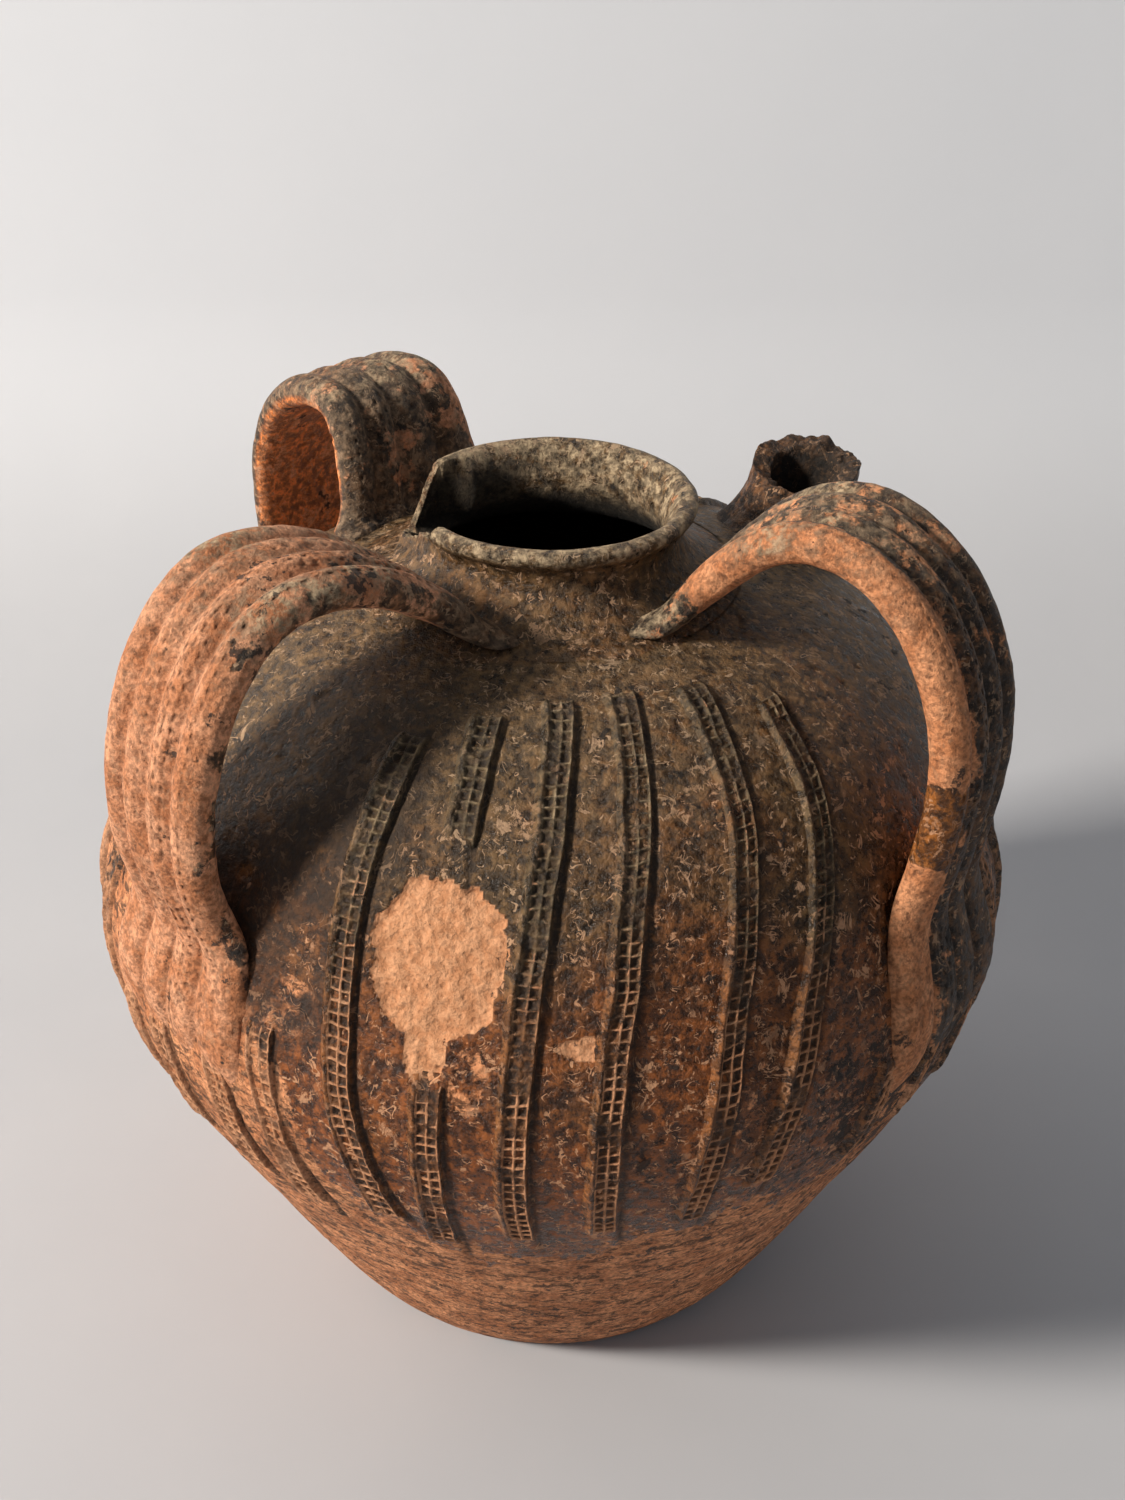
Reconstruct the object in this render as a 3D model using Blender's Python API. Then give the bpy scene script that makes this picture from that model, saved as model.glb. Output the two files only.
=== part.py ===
"""Three-handled oil jar with a flared neck, a broken spout and applied strips.

Metres, +Z up.  The jar's axis is the Z axis and its flat base lies on Z = 0.
Azimuths are in degrees, measured from -Y (the front) towards +X.
"""
import math

import bpy
import bmesh
from mathutils import Vector

for old in list(bpy.data.objects):
    bpy.data.objects.remove(old, do_unlink=True)

# ---------------------------------------------------------------- dimensions
JAR_HEIGHT = 0.3724
GAP = 0.0003                      # joint line left between luted pieces
BODY_WALL = 0.0075
BASE_THICKNESS = 0.010
FLOOR_CORNER = 0.005              # slope between the floor and the wall inside
BASE_FLAT_RADIUS = 0.1005
BODY_SEGMENTS = 72
OUTER_RINGS = 17
INNER_RINGS = 12
CURVE_SAMPLES = 40                # straight steps per span when a curve's length is measured
SHARP_ANGLE = 45.0                # edges sharper than this are shaded sharp

# Outer line of the body from the base edge to the foot of the neck: (radius, height).
BODY_LINE = [
    (0.1035, 0.0030),
    (0.1163, 0.0223),
    (0.1337, 0.0559),
    (0.1531, 0.0968),
    (0.1731, 0.1378),
    (0.1880, 0.1788),
    (0.1900, 0.2160),
    (0.1787, 0.2495),
    (0.1650, 0.2793),
    (0.1449, 0.3054),
    (0.1110, 0.3277),
    (0.0900, 0.3340),
    (0.0750, 0.3380),
]

# The collar: a flared neck with a rolled lip, outer line upwards, then down the throat.
COLLAR_SEGMENTS = 72
COLLAR_OUTER = [
    (0.0630, 0.3430),
    (0.0545, 0.3500),
    (0.0512, 0.3575),
    (0.0525, 0.3630),
    (0.0565, 0.3660),
    (0.0580, 0.3690),
    (0.0562, 0.3718),
    (0.0535, 0.3724),
]
COLLAR_INNER = [
    (0.0500, 0.3705),
    (0.0468, 0.3650),
    (0.0450, 0.3575),
    (0.0475, 0.3480),
    (0.0560, 0.3390),
]
# Lower edge of the piece broken out of the collar: (azimuth, height).
COLLAR_BREAK = [
    (-124.0, 0.3800), (-123.0, 0.3740), (-121.0, 0.3705), (-118.0, 0.3650), (-116.0, 0.3560),
    (-114.0, 0.3475), (-112.0, 0.3450), (-108.0, 0.3460), (-102.0, 0.3482), (-94.0, 0.3513),
    (-86.0, 0.3550), (-78.0, 0.3585), (-70.0, 0.3618), (-62.0, 0.3655), (-54.0, 0.3690),
    (-52.0, 0.3740), (-51.0, 0.3800),
]
BREAK_INNER_RADIUS = 0.030
BREAK_OUTER_RADIUS = 0.090
BREAK_TOP = 0.390

# Strap handles.  Each rises from the neck, arches over and comes down on the shoulder.
# crest and side are the highest and the outermost point of the strap's middle line.
HANDLE_RINGS_PER_ARC = 8
HANDLE_ROUND = 0.55               # control length that makes a quarter of an ellipse
HANDLE_ROOT_PULL = (0.020, 0.022)
HANDLE_CREST_PULL = 0.028
HANDLE_SIDE_PULL = 0.022
HANDLE_FOOT_PULL = (0.010, 0.024)
HANDLE_END_THICKNESS = 0.0190
HANDLE_END_SHARE = 0.16           # share of the strap over which each end swells
HANDLE_FAN_SHARE = 0.40           # share of the strap over which one edge fans out to the root
HANDLE_FAN_POWER = 1.3
HANDLE_EDGE_ROUND = 0.0035
HANDLE_BELLY = 0.0004             # swell of the strap's inner face
HANDLE_RIBS = 4
HANDLE_RIB_DEPTH = 0.0022
HANDLES = {
    "handle_front_left": {
        "clay": "bare_terracotta", "azimuth": -47.6, "lean": -3.7,
        "half_width": 0.0305, "thickness": 0.0150, "fan": 0.0,
        "root_half_width": 0.0320, "foot_half_width": 0.0320,
        "root": (0.0600, 0.3400), "crest": (0.1335, 0.3812),
        "side": (0.1850, 0.2960), "foot": (0.1640, 0.2280),
    },
    "handle_front_right": {
        "clay": "smoked_clay", "azimuth": 57.0, "lean": -6.5,
        "half_width": 0.0282, "thickness": 0.0150, "fan": 0.0,
        "root_half_width": 0.0300, "foot_half_width": 0.0300,
        "root": (0.0580, 0.3360), "crest": (0.1235, 0.3882),
        "side": (0.1824, 0.3080), "foot": (0.1640, 0.2180),
    },
    "handle_rear_left": {
        "clay": "bare_terracotta", "azimuth": -139.8, "lean": -8.0,
        "half_width": 0.0285, "thickness": 0.0135, "fan": 0.0240,
        "root_half_width": 0.0320, "foot_half_width": 0.0300,
        "root": (0.0850, 0.3200), "crest": (0.1200, 0.3830),
        "side": (0.1865, 0.2940), "foot": (0.1640, 0.2270),
    },
}

# Stump of the pouring spout, with a jagged top, and the hole it pours through.
SPOUT_AZIMUTH = 120.0
SPOUT_FOOT = (0.1080, 0.2900)
SPOUT_TOP = (0.1240, 0.3550)
SPOUT_SEGMENTS = 24
SPOUT_OUTER_RADIUS = 0.0225
SPOUT_FOOT_RADIUS = 0.0310
SPOUT_FLARE_START = 0.034         # distances along the spout's axis from its foot
SPOUT_FLARE_MIDDLE = 0.042
SPOUT_FLARE_END = 0.052
SPOUT_FLARE_STEP = 0.0018
SPOUT_BORE_RADIUS = 0.0145
SPOUT_HOLE_RADIUS = 0.0140
SPOUT_HOLE_START = -0.010
SPOUT_HOLE_END = 0.060
SPOUT_REAR_RISE = 0.007           # the stump's rear stands higher than its front
SPOUT_BREAK_DROP = 0.0010         # fall of the broken edge from the outside to the bore
SPOUT_JAG = [0.0, 0.0022, -0.0012, 0.0015, 0.0030, -0.0010]

# Applied strips: flattened cords pressed on to the body from shoulder to lower wall.
STRIP_HALF_WIDTH = 0.0060
STRIP_HEIGHT = 0.0030
STRIP_END_HEIGHT = 0.0012
STRIP_SECTION = [(0.92, 0.85), (0.0, 0.90), (-0.60, 1.0)]    # shares of half width and height
STRIP_GAP = 0.0004                # over GAP, because the strips cross the facets at a slant
STRIP_TOP = 0.3320
RING_CLEAR = 0.0003                # rings nearer than this to a strip's end are passed over
# (name, azimuth at mid height, lean and bend of its line, bottom, top)
STRIPS = [
    ("strip_front_1", -21.5, -26.0, 44.0, 0.150, 0.3270),
    ("strip_front_2_lower", -13.5, -2.4, 12.0, 0.135, 0.2340),
    ("strip_front_2_upper", -13.5, -2.4, 12.0, 0.3010, 0.3320),
    ("strip_front_3", -4.3, -2.1, 42.0, 0.145, 0.3340),
    ("strip_front_4", 5.5, -0.2, 58.0, 0.150, 0.3345),
    ("strip_front_5", 16.7, 14.1, 52.0, 0.150, 0.3335),
    ("strip_front_6", 24.4, 29.9, 53.0, 0.165, 0.3290),
    ("strip_left_1", -32.2, -16.0, 0.0, 0.140, 0.2380),
    ("strip_left_2", -40.2, -14.0, 0.0, 0.145, 0.2160),
    ("strip_left_3", -50.5, -30.0, 0.0, 0.150, 0.2120),
    ("strip_right_1", 39.3, 27.0, 60.0, 0.155, 0.2140),
    ("strip_right_2", 48.0, 30.0, 60.0, 0.160, 0.2060),
    ("strip_right_3", 58.0, 30.0, 60.0, 0.160, 0.2060),
]
BACK_FIRST_AZIMUTH = 69.0
BACK_PITCH = 10.5
BACK_COUNT = 23
BACK_BOTTOM = 0.1500
# How near a strip of the back may come to a handle's foot, a handle's root and the spout,
# and the height at which a strip nearer than that stops.
FOOT_CLEAR_ANGLE = 14.0
FOOT_STRIP_TOP = 0.2080
ROOT_CLEAR_ANGLE = 32.0
ROOT_STRIP_TOP = 0.3000
SPOUT_CLEAR_ANGLE = 20.0
SPOUT_STRIP_TOP = 0.2800
# Behind the right handle and between the two left ones the shoulder is plain above this height.
PLAIN_SHOULDERS = [(69.0, 105.0), (232.0, 305.0)]
PLAIN_SHOULDER_TOP = 0.2620


# ------------------------------------------------------------------- helpers
def material(name, colour, roughness):
    """A plain fired-clay material."""
    mat = bpy.data.materials.new(name)
    mat.use_nodes = True
    shader = mat.node_tree.nodes["Principled BSDF"]
    shader.inputs["Base Color"].default_value = (*colour, 1.0)
    shader.inputs["Roughness"].default_value = roughness
    shader.inputs["Metallic"].default_value = 0.0
    mat.diffuse_color = (*colour, 1.0)
    return mat


def solid(name, vertices, faces, mat, smooth=True):
    """Make one object from a list of vertices and faces, with its faces turned outwards."""
    mesh = bpy.data.meshes.new(name)
    mesh.from_pydata([tuple(v) for v in vertices], [], faces)
    work = bmesh.new()
    work.from_mesh(mesh)
    bmesh.ops.recalc_face_normals(work, faces=work.faces[:])
    work.to_mesh(mesh)
    work.free()
    mesh.materials.append(mat)
    if smooth:
        mesh.shade_smooth()
        mesh.set_sharp_from_angle(angle=math.radians(SHARP_ANGLE))
    item = bpy.data.objects.new(name, mesh)
    bpy.context.scene.collection.objects.link(item)
    return item


def cutter(name, vertices, faces):
    """A guide solid that is only used to cut others."""
    item = solid(name, vertices, faces, CUTTER_MATERIAL, smooth=False)
    item.hide_render = True
    item.display_type = "WIRE"
    return item


def cut(item, tool):
    """Subtract one solid from another."""
    step = item.modifiers.new("cut_" + tool.name, "BOOLEAN")
    step.operation = "DIFFERENCE"
    step.solver = "EXACT"
    step.object = tool


def at(azimuth, radius, height):
    """Point at an azimuth in degrees, a radius and a height."""
    angle = math.radians(azimuth)
    return Vector((radius * math.sin(angle), -radius * math.cos(angle), height))


def spline(points, position):
    """Catmull-Rom curve through the points; position counts points from 0."""
    last = len(points) - 1
    index = min(int(position), last - 1)
    t = position - index
    p1 = points[index]
    p2 = points[index + 1]
    p0 = points[index - 1] if index > 0 else tuple(2 * a - b for a, b in zip(p1, p2))
    p3 = points[index + 2] if index + 2 <= last else tuple(2 * b - a for a, b in zip(p1, p2))
    result = []
    for a, b, c, d in zip(p0, p1, p2, p3):
        slope_in = (c - a) / 2
        slope_out = (d - b) / 2
        value = (2 * t ** 3 - 3 * t ** 2 + 1) * b
        value += (t ** 3 - 2 * t ** 2 + t) * slope_in
        value += (3 * t ** 2 - 2 * t ** 3) * c
        value += (t ** 3 - t ** 2) * slope_out
        result.append(value)
    return tuple(result)


def even_points(points, count):
    """Points spaced evenly along the curve through the given points."""
    fine = CURVE_SAMPLES * (len(points) - 1)
    samples = [spline(points, (len(points) - 1) * i / fine) for i in range(fine + 1)]
    lengths = [0.0]
    for a, b in zip(samples, samples[1:]):
        lengths.append(lengths[-1] + math.dist(a, b))
    result = []
    index = 0
    for i in range(count):
        target = lengths[-1] * i / (count - 1)
        while index < fine - 1 and lengths[index + 1] < target:
            index += 1
        part = (target - lengths[index]) / (lengths[index + 1] - lengths[index])
        a = samples[index]
        b = samples[index + 1]
        result.append(tuple(p + (q - p) * part for p, q in zip(a, b)))
    return result


def offset(points, distance):
    """Move a line of points sideways: outwards from the jar for a positive distance."""
    moved = []
    last = len(points) - 1
    for i, point in enumerate(points):
        a = points[max(i - 1, 0)]
        b = points[min(i + 1, last)]
        length = math.dist(a, b)
        normal = ((b[1] - a[1]) / length, (a[0] - b[0]) / length)
        moved.append((point[0] + normal[0] * distance, point[1] + normal[1] * distance))
    return moved


def ring_grid(rows, columns, closed_rows):
    """Quads of a grid whose columns close round; rows may close as well."""
    faces = []
    for i in range(rows if closed_rows else rows - 1):
        below = (i + 1) % rows
        for j in range(columns):
            right = (j + 1) % columns
            faces.append((i * columns + j, i * columns + right, below * columns + right, below * columns + j))
    return faces


def lathe_loop(line, segments):
    """Vertices and faces of a closed section turned about Z, clear of the axis."""
    vertices = [at(360.0 * j / segments, r, z) for r, z in line for j in range(segments)]
    return vertices, ring_grid(len(line), segments, True)


def lathe_solid(line, segments):
    """Vertices and faces of an open section turned about Z and closed by two flat ends."""
    vertices = [at(360.0 * j / segments, r, z) for r, z in line for j in range(segments)]
    faces = ring_grid(len(line), segments, False)
    faces.append(tuple(range(segments)))
    faces.append(tuple((len(line) - 1) * segments + j for j in range(segments)))
    return vertices, faces


CUTTER_MATERIAL = material("guide", (0.5, 0.5, 0.5), 0.5)
GLAZED = material("glazed_brown", (0.20, 0.105, 0.055), 0.42)
BARE = material("bare_terracotta", (0.47, 0.235, 0.13), 0.85)
DARK = material("smoked_clay", (0.075, 0.045, 0.030), 0.70)
STRIP = material("strip_clay", (0.26, 0.165, 0.10), 0.60)

# ---------------------------------------------------------------------- body
outer_line = even_points(BODY_LINE, OUTER_RINGS)
inner_line = offset(even_points(BODY_LINE, 3 * OUTER_RINGS), -BODY_WALL)
inner_line = [point for point in inner_line if point[1] > BASE_THICKNESS + FLOOR_CORNER]
inner_line = even_points(inner_line, INNER_RINGS)

body_section = [(BASE_FLAT_RADIUS, 0.0)] + outer_line + inner_line[::-1]
body_section.append((inner_line[0][0] - FLOOR_CORNER, BASE_THICKNESS))
body_vertices, body_faces = lathe_solid(body_section, BODY_SEGMENTS)
body = solid("body", body_vertices, body_faces, GLAZED)

spout_axis_foot = at(SPOUT_AZIMUTH, *SPOUT_FOOT)
spout_axis_top = at(SPOUT_AZIMUTH, *SPOUT_TOP)
spout_up = (spout_axis_top - spout_axis_foot).normalized()
spout_side = Vector((math.cos(math.radians(SPOUT_AZIMUTH)), math.sin(math.radians(SPOUT_AZIMUTH)), 0.0))
spout_out = spout_side.cross(spout_up)


def spout_ring(distance, radius, count, lift=None):
    """Points round the spout's axis; lift raises each of them along it."""
    ring = []
    for j in range(count):
        angle = 2 * math.pi * j / count
        extra = lift[j] if lift else 0.0
        ring.append(
            spout_axis_foot + spout_up * (distance + extra)
            + spout_side * radius * math.cos(angle) + spout_out * radius * math.sin(angle)
        )
    return ring


hole_rows = [
    spout_ring(SPOUT_HOLE_START, SPOUT_HOLE_RADIUS, SPOUT_SEGMENTS),
    spout_ring(SPOUT_HOLE_END, SPOUT_HOLE_RADIUS, SPOUT_SEGMENTS),
]
hole_faces = ring_grid(2, SPOUT_SEGMENTS, False)
hole_faces.append(tuple(range(SPOUT_SEGMENTS)))
hole_faces.append(tuple(range(SPOUT_SEGMENTS, 2 * SPOUT_SEGMENTS)))
spout_hole = cutter("guide_spout_hole", hole_rows[0] + hole_rows[1], hole_faces)
cut(body, spout_hole)

# -------------------------------------------------------------------- collar
joint_step = (Vector(outer_line[-1]) - Vector(outer_line[-2])).normalized() * GAP
collar_foot_outer = tuple(Vector(outer_line[-1]) + joint_step)
collar_foot_inner = tuple(Vector(inner_line[-1]) + joint_step)
collar_section = [collar_foot_outer] + COLLAR_OUTER + COLLAR_INNER + [collar_foot_inner]
collar_vertices, collar_faces = lathe_loop(collar_section, COLLAR_SEGMENTS)
collar = solid("collar", collar_vertices, collar_faces, GLAZED)

break_vertices = []
for azimuth, height in COLLAR_BREAK:
    for radius, level in (
        (BREAK_INNER_RADIUS, height), (BREAK_OUTER_RADIUS, height),
        (BREAK_OUTER_RADIUS, BREAK_TOP), (BREAK_INNER_RADIUS, BREAK_TOP),
    ):
        break_vertices.append(at(azimuth, radius, level))
break_faces = []
for i in range(len(COLLAR_BREAK) - 1):
    for k in range(4):
        n = (k + 1) % 4
        break_faces.append((4 * i + k, 4 * i + n, 4 * i + 4 + n, 4 * i + 4 + k))
break_faces.append((0, 1, 2, 3))
break_end = 4 * (len(COLLAR_BREAK) - 1)
break_faces.append((break_end, break_end + 1, break_end + 2, break_end + 3))
cut(collar, cutter("guide_collar_break", break_vertices, break_faces))

# Filled jar shape, a joint line larger than the jar; handles and spout end against it.
jar_skin = offset([(BODY_LINE[0][0], 0.0)] + outer_line + COLLAR_OUTER[:4], GAP)
jar_skin.append((COLLAR_OUTER[4][0], COLLAR_OUTER[4][1]))
jar_vertices, jar_faces = lathe_solid(jar_skin, BODY_SEGMENTS)
jar_shape = cutter("guide_jar_shape", jar_vertices, jar_faces)


# ------------------------------------------------------------------- handles
def bezier(p0, p1, p2, p3, t):
    """Point on a cubic curve."""
    s = 1 - t
    return tuple(
        s ** 3 * a + 3 * s * s * t * b + 3 * s * t * t * c + t ** 3 * d
        for a, b, c, d in zip(p0, p1, p2, p3)
    )


def handle_line(spec):
    """Middle line of a strap from the neck over the crest to the shoulder."""
    root = spec["root"]
    crest = spec["crest"]
    side = spec["side"]
    foot = spec["foot"]
    arcs = [
        (root, (root[0] + HANDLE_ROOT_PULL[0], root[1] + HANDLE_ROOT_PULL[1]),
         (crest[0] - HANDLE_CREST_PULL, crest[1]), crest),
        (crest, (crest[0] + HANDLE_ROUND * (side[0] - crest[0]), crest[1]),
         (side[0], side[1] + HANDLE_ROUND * (crest[1] - side[1])), side),
        (side, (side[0], side[1] - HANDLE_SIDE_PULL),
         (foot[0] + HANDLE_FOOT_PULL[0], foot[1] + HANDLE_FOOT_PULL[1]), foot),
    ]
    line = []
    for arc in arcs:
        line += [bezier(*arc, i / HANDLE_RINGS_PER_ARC) for i in range(HANDLE_RINGS_PER_ARC)]
    line.append(foot)
    return line


def strap_section(half_width, thickness):
    """Section of a strap: rounded ribs on the outer face, a plain inner face."""
    points = []
    edge = half_width - HANDLE_EDGE_ROUND
    count = 2 * HANDLE_RIBS
    for i in range(count + 1):
        across = -edge + 2 * edge * i / count
        groove = i % 2 == 0 and 0 < i < count
        corner = i in (0, count)
        dip = HANDLE_RIB_DEPTH if groove else HANDLE_RIB_DEPTH / 2 if corner else 0.0
        points.append((across, thickness / 2 - dip))
    points += [
        (half_width, thickness / 8),
        (edge, -thickness / 2),
        (0.0, -thickness / 2 - HANDLE_BELLY),
        (-edge, -thickness / 2),
        (-half_width, thickness / 8),
    ]
    return points


def strap(name, spec, mat):
    """Sweep the strap section along a handle's middle line and end it on the jar."""
    line = handle_line(spec)
    last = len(line) - 1
    vertices = []
    columns = 0
    for i, (radius, height) in enumerate(line):
        along = i / last
        azimuth = spec["azimuth"] + spec["lean"] * (along - 0.5)
        a = line[max(i - 1, 0)]
        b = line[min(i + 1, last)]
        length = math.dist(a, b)
        tangent_r = (b[0] - a[0]) / length
        tangent_z = (b[1] - a[1]) / length
        radial = at(azimuth, 1.0, 0.0)
        across = Vector((-radial.y, radial.x, 0.0))
        outward = radial * -tangent_z + Vector((0.0, 0.0, tangent_r))
        near_end = max(0.0, 1.0 - min(along, 1.0 - along) / HANDLE_END_SHARE)
        end_half_width = spec["root_half_width"] if along < 0.5 else spec["foot_half_width"]
        half_width = spec["half_width"] + (end_half_width - spec["half_width"]) * near_end ** 2
        thickness = spec["thickness"] + (HANDLE_END_THICKNESS - spec["thickness"]) * near_end ** 2
        near_root = max(0.0, 1.0 - along / HANDLE_FAN_SHARE)
        fan = 1.0 + spec["fan"] / half_width * near_root ** HANDLE_FAN_POWER
        section = strap_section(half_width, thickness)
        columns = len(section)
        centre = at(azimuth, radius, height)
        vertices += [centre + across * s * (fan if s < 0 else 1.0) + outward * n for s, n in section]
    faces = ring_grid(last + 1, columns, False)
    faces.append(tuple(range(columns)))
    faces.append(tuple(last * columns + j for j in range(columns)))
    item = solid(name, vertices, faces, mat)
    cut(item, jar_shape)
    return item


for handle_name, handle_spec in HANDLES.items():
    strap(handle_name, handle_spec, bpy.data.materials[handle_spec["clay"]])

# --------------------------------------------------------------------- spout
spout_length = (spout_axis_top - spout_axis_foot).length
jag = []
for step in range(SPOUT_SEGMENTS):
    turn = 2 * math.pi * step / SPOUT_SEGMENTS
    rear = (spout_side * math.cos(turn) + spout_out * math.sin(turn)).y
    jag.append(SPOUT_REAR_RISE * rear + SPOUT_JAG[step % len(SPOUT_JAG)])
spout_rows = [
    spout_ring(0.0, SPOUT_FOOT_RADIUS, SPOUT_SEGMENTS),
    spout_ring(SPOUT_FLARE_START, SPOUT_FOOT_RADIUS, SPOUT_SEGMENTS),
    spout_ring(SPOUT_FLARE_MIDDLE, SPOUT_OUTER_RADIUS + SPOUT_FLARE_STEP, SPOUT_SEGMENTS),
    spout_ring(SPOUT_FLARE_END, SPOUT_OUTER_RADIUS, SPOUT_SEGMENTS),
    spout_ring(spout_length, SPOUT_OUTER_RADIUS, SPOUT_SEGMENTS, jag),
    spout_ring(spout_length - SPOUT_BREAK_DROP, SPOUT_BORE_RADIUS, SPOUT_SEGMENTS, jag),
    spout_ring(0.0, SPOUT_BORE_RADIUS, SPOUT_SEGMENTS),
]
spout_vertices = [vertex for row in spout_rows for vertex in row]
spout = solid("spout_stump", spout_vertices, ring_grid(len(spout_rows), SPOUT_SEGMENTS, True), DARK)
cut(spout, jar_shape)


# -------------------------------------------------------------------- strips
def skin_radius(height):
    """Radius of the turned body at a height, on its straight facets."""
    for a, b in zip(outer_line, outer_line[1:]):
        if a[1] <= height <= b[1]:
            part = (height - a[1]) / (b[1] - a[1])
            return a[0] + (b[0] - a[0]) * part
    return outer_line[-1][0]


def applied_strip(name, middle, lean, bend, bottom, top):
    """A flattened cord of clay lying on the body: a bead on the left, a flat band, a steep right side."""
    heights = [bottom] + [z for r, z in outer_line if bottom + RING_CLEAR < z < top - RING_CLEAR] + [top]
    path = [(skin_radius(z), z) for z in heights]
    vertices = []
    last = len(path) - 1
    for i, (radius, height) in enumerate(path):
        above_middle = height / JAR_HEIGHT - 0.5
        azimuth = middle + lean * above_middle + bend * above_middle ** 2
        a = path[max(i - 1, 0)]
        b = path[min(i + 1, last)]
        length = math.dist(a, b)
        radial = at(azimuth, 1.0, 0.0)
        outward = radial * ((b[1] - a[1]) / length) + Vector((0.0, 0.0, (a[0] - b[0]) / length))
        across = Vector((-radial.y, radial.x, 0.0))
        rise = STRIP_END_HEIGHT if i in (0, last) else STRIP_HEIGHT
        turn = math.degrees(STRIP_HALF_WIDTH / radius)
        left = at(azimuth - turn, radius, height) + outward * STRIP_GAP
        right = at(azimuth + turn, radius, height) + outward * STRIP_GAP
        centre = at(azimuth, radius, height)
        vertices += [left, right]
        for sideways, high in STRIP_SECTION:
            beside = across * STRIP_HALF_WIDTH * sideways
            vertices.append(centre + beside + outward * (STRIP_GAP + rise * high))
    columns = 2 + len(STRIP_SECTION)
    faces = ring_grid(last + 1, columns, False)
    faces.append(tuple(range(columns)))
    faces.append(tuple(last * columns + j for j in range(columns)))
    return solid(name, vertices, faces, STRIP)


for strip_spec in STRIPS:
    applied_strip(*strip_spec)


def angle_between(a, b):
    """Smallest angle between two azimuths."""
    return abs((a - b + 180.0) % 360.0 - 180.0)


def back_strip_top(azimuth):
    """Height at which a strip of the back stops, so that it clears the handles and the spout."""
    tops = [STRIP_TOP]
    if any(first <= azimuth <= last for first, last in PLAIN_SHOULDERS):
        tops.append(PLAIN_SHOULDER_TOP)
    if angle_between(azimuth, SPOUT_AZIMUTH) < SPOUT_CLEAR_ANGLE:
        tops.append(SPOUT_STRIP_TOP)
    for spec in HANDLES.values():
        if angle_between(azimuth, spec["azimuth"]) < ROOT_CLEAR_ANGLE:
            tops.append(ROOT_STRIP_TOP)
        if angle_between(azimuth, spec["azimuth"] + spec["lean"] / 2) < FOOT_CLEAR_ANGLE:
            tops.append(FOOT_STRIP_TOP)
    return min(tops)


for number in range(BACK_COUNT):
    back_azimuth = BACK_FIRST_AZIMUTH + BACK_PITCH * number
    back_name = "strip_back_%02d" % (number + 1)
    applied_strip(back_name, back_azimuth, 0.0, 0.0, BACK_BOTTOM, back_strip_top(back_azimuth))
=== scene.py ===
"""Looks of the three-handled oil jar: detailed surfaces, fired clay and worn glaze, floor and light.

Metres, +Z up, the jar's axis on Z and its base on Z = 0.  Azimuths are in degrees, measured from
-Y (the front) towards +X.  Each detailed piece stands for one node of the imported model.
"""

import math

import bpy
import numpy as np
from mathutils import Matrix, Vector


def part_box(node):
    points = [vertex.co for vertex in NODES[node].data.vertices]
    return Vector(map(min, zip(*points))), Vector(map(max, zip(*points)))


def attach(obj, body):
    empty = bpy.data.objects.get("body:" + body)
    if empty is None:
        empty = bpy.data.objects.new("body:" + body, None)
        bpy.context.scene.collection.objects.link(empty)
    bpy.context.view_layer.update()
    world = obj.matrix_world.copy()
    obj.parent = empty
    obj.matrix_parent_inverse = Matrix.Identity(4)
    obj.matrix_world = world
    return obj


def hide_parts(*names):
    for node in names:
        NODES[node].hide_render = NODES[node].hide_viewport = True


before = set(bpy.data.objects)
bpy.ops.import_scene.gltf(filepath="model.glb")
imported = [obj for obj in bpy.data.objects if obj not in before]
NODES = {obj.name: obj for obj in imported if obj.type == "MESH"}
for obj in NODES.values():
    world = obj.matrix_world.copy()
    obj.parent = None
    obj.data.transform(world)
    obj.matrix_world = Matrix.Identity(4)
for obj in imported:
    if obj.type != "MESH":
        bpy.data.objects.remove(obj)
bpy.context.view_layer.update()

# ------------------------------------------------------------------ the jar's own sizes
JAR_HEIGHT = 0.3724
BASE_FLAT_RADIUS = 0.1005
BODY_LINE = [
    (0.1035, 0.0030), (0.1163, 0.0223), (0.1337, 0.0559), (0.1531, 0.0968), (0.1731, 0.1378),
    (0.1880, 0.1788), (0.1900, 0.2160), (0.1787, 0.2495), (0.1650, 0.2793), (0.1449, 0.3054),
    (0.1110, 0.3277), (0.0900, 0.3340), (0.0750, 0.3380),
]
BODY_WALL = 0.0075
FLOOR_HEIGHT = 0.010

COLLAR_OUTER = [
    (0.0830, 0.3352), (0.0740, 0.3386), (0.0630, 0.3432), (0.0545, 0.3500), (0.0514, 0.3575),
    (0.0527, 0.3630), (0.0562, 0.3662), (0.0577, 0.3692), (0.0565, 0.3716), (0.0538, 0.3725),
]
COLLAR_INNER = [
    (0.0512, 0.3716), (0.0490, 0.3690), (0.0466, 0.3645), (0.0450, 0.3575), (0.0473, 0.3480),
    (0.0556, 0.3390), (0.0700, 0.3320),
]
# Lower edge of the broken part of the collar: (azimuth, height); full height outside it.
BREAK_EDGE = [
    (-126.5, 0.3740), (-125.0, 0.3719), (-121.0, 0.3660), (-118.0, 0.3580), (-116.0, 0.3510),
    (-113.0, 0.3440), (-109.0, 0.3455), (-102.0, 0.3482), (-94.0, 0.3513), (-86.0, 0.3550),
    (-78.0, 0.3585), (-70.0, 0.3618), (-62.0, 0.3655), (-54.0, 0.3690), (-51.0, 0.3740),
]
# Beside the break the neck's wall runs straight out to the shoulder.
BREAK_FLARE = (0.0577, 0.3690, 0.24)
BREAK_WALL = 0.0042

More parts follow.
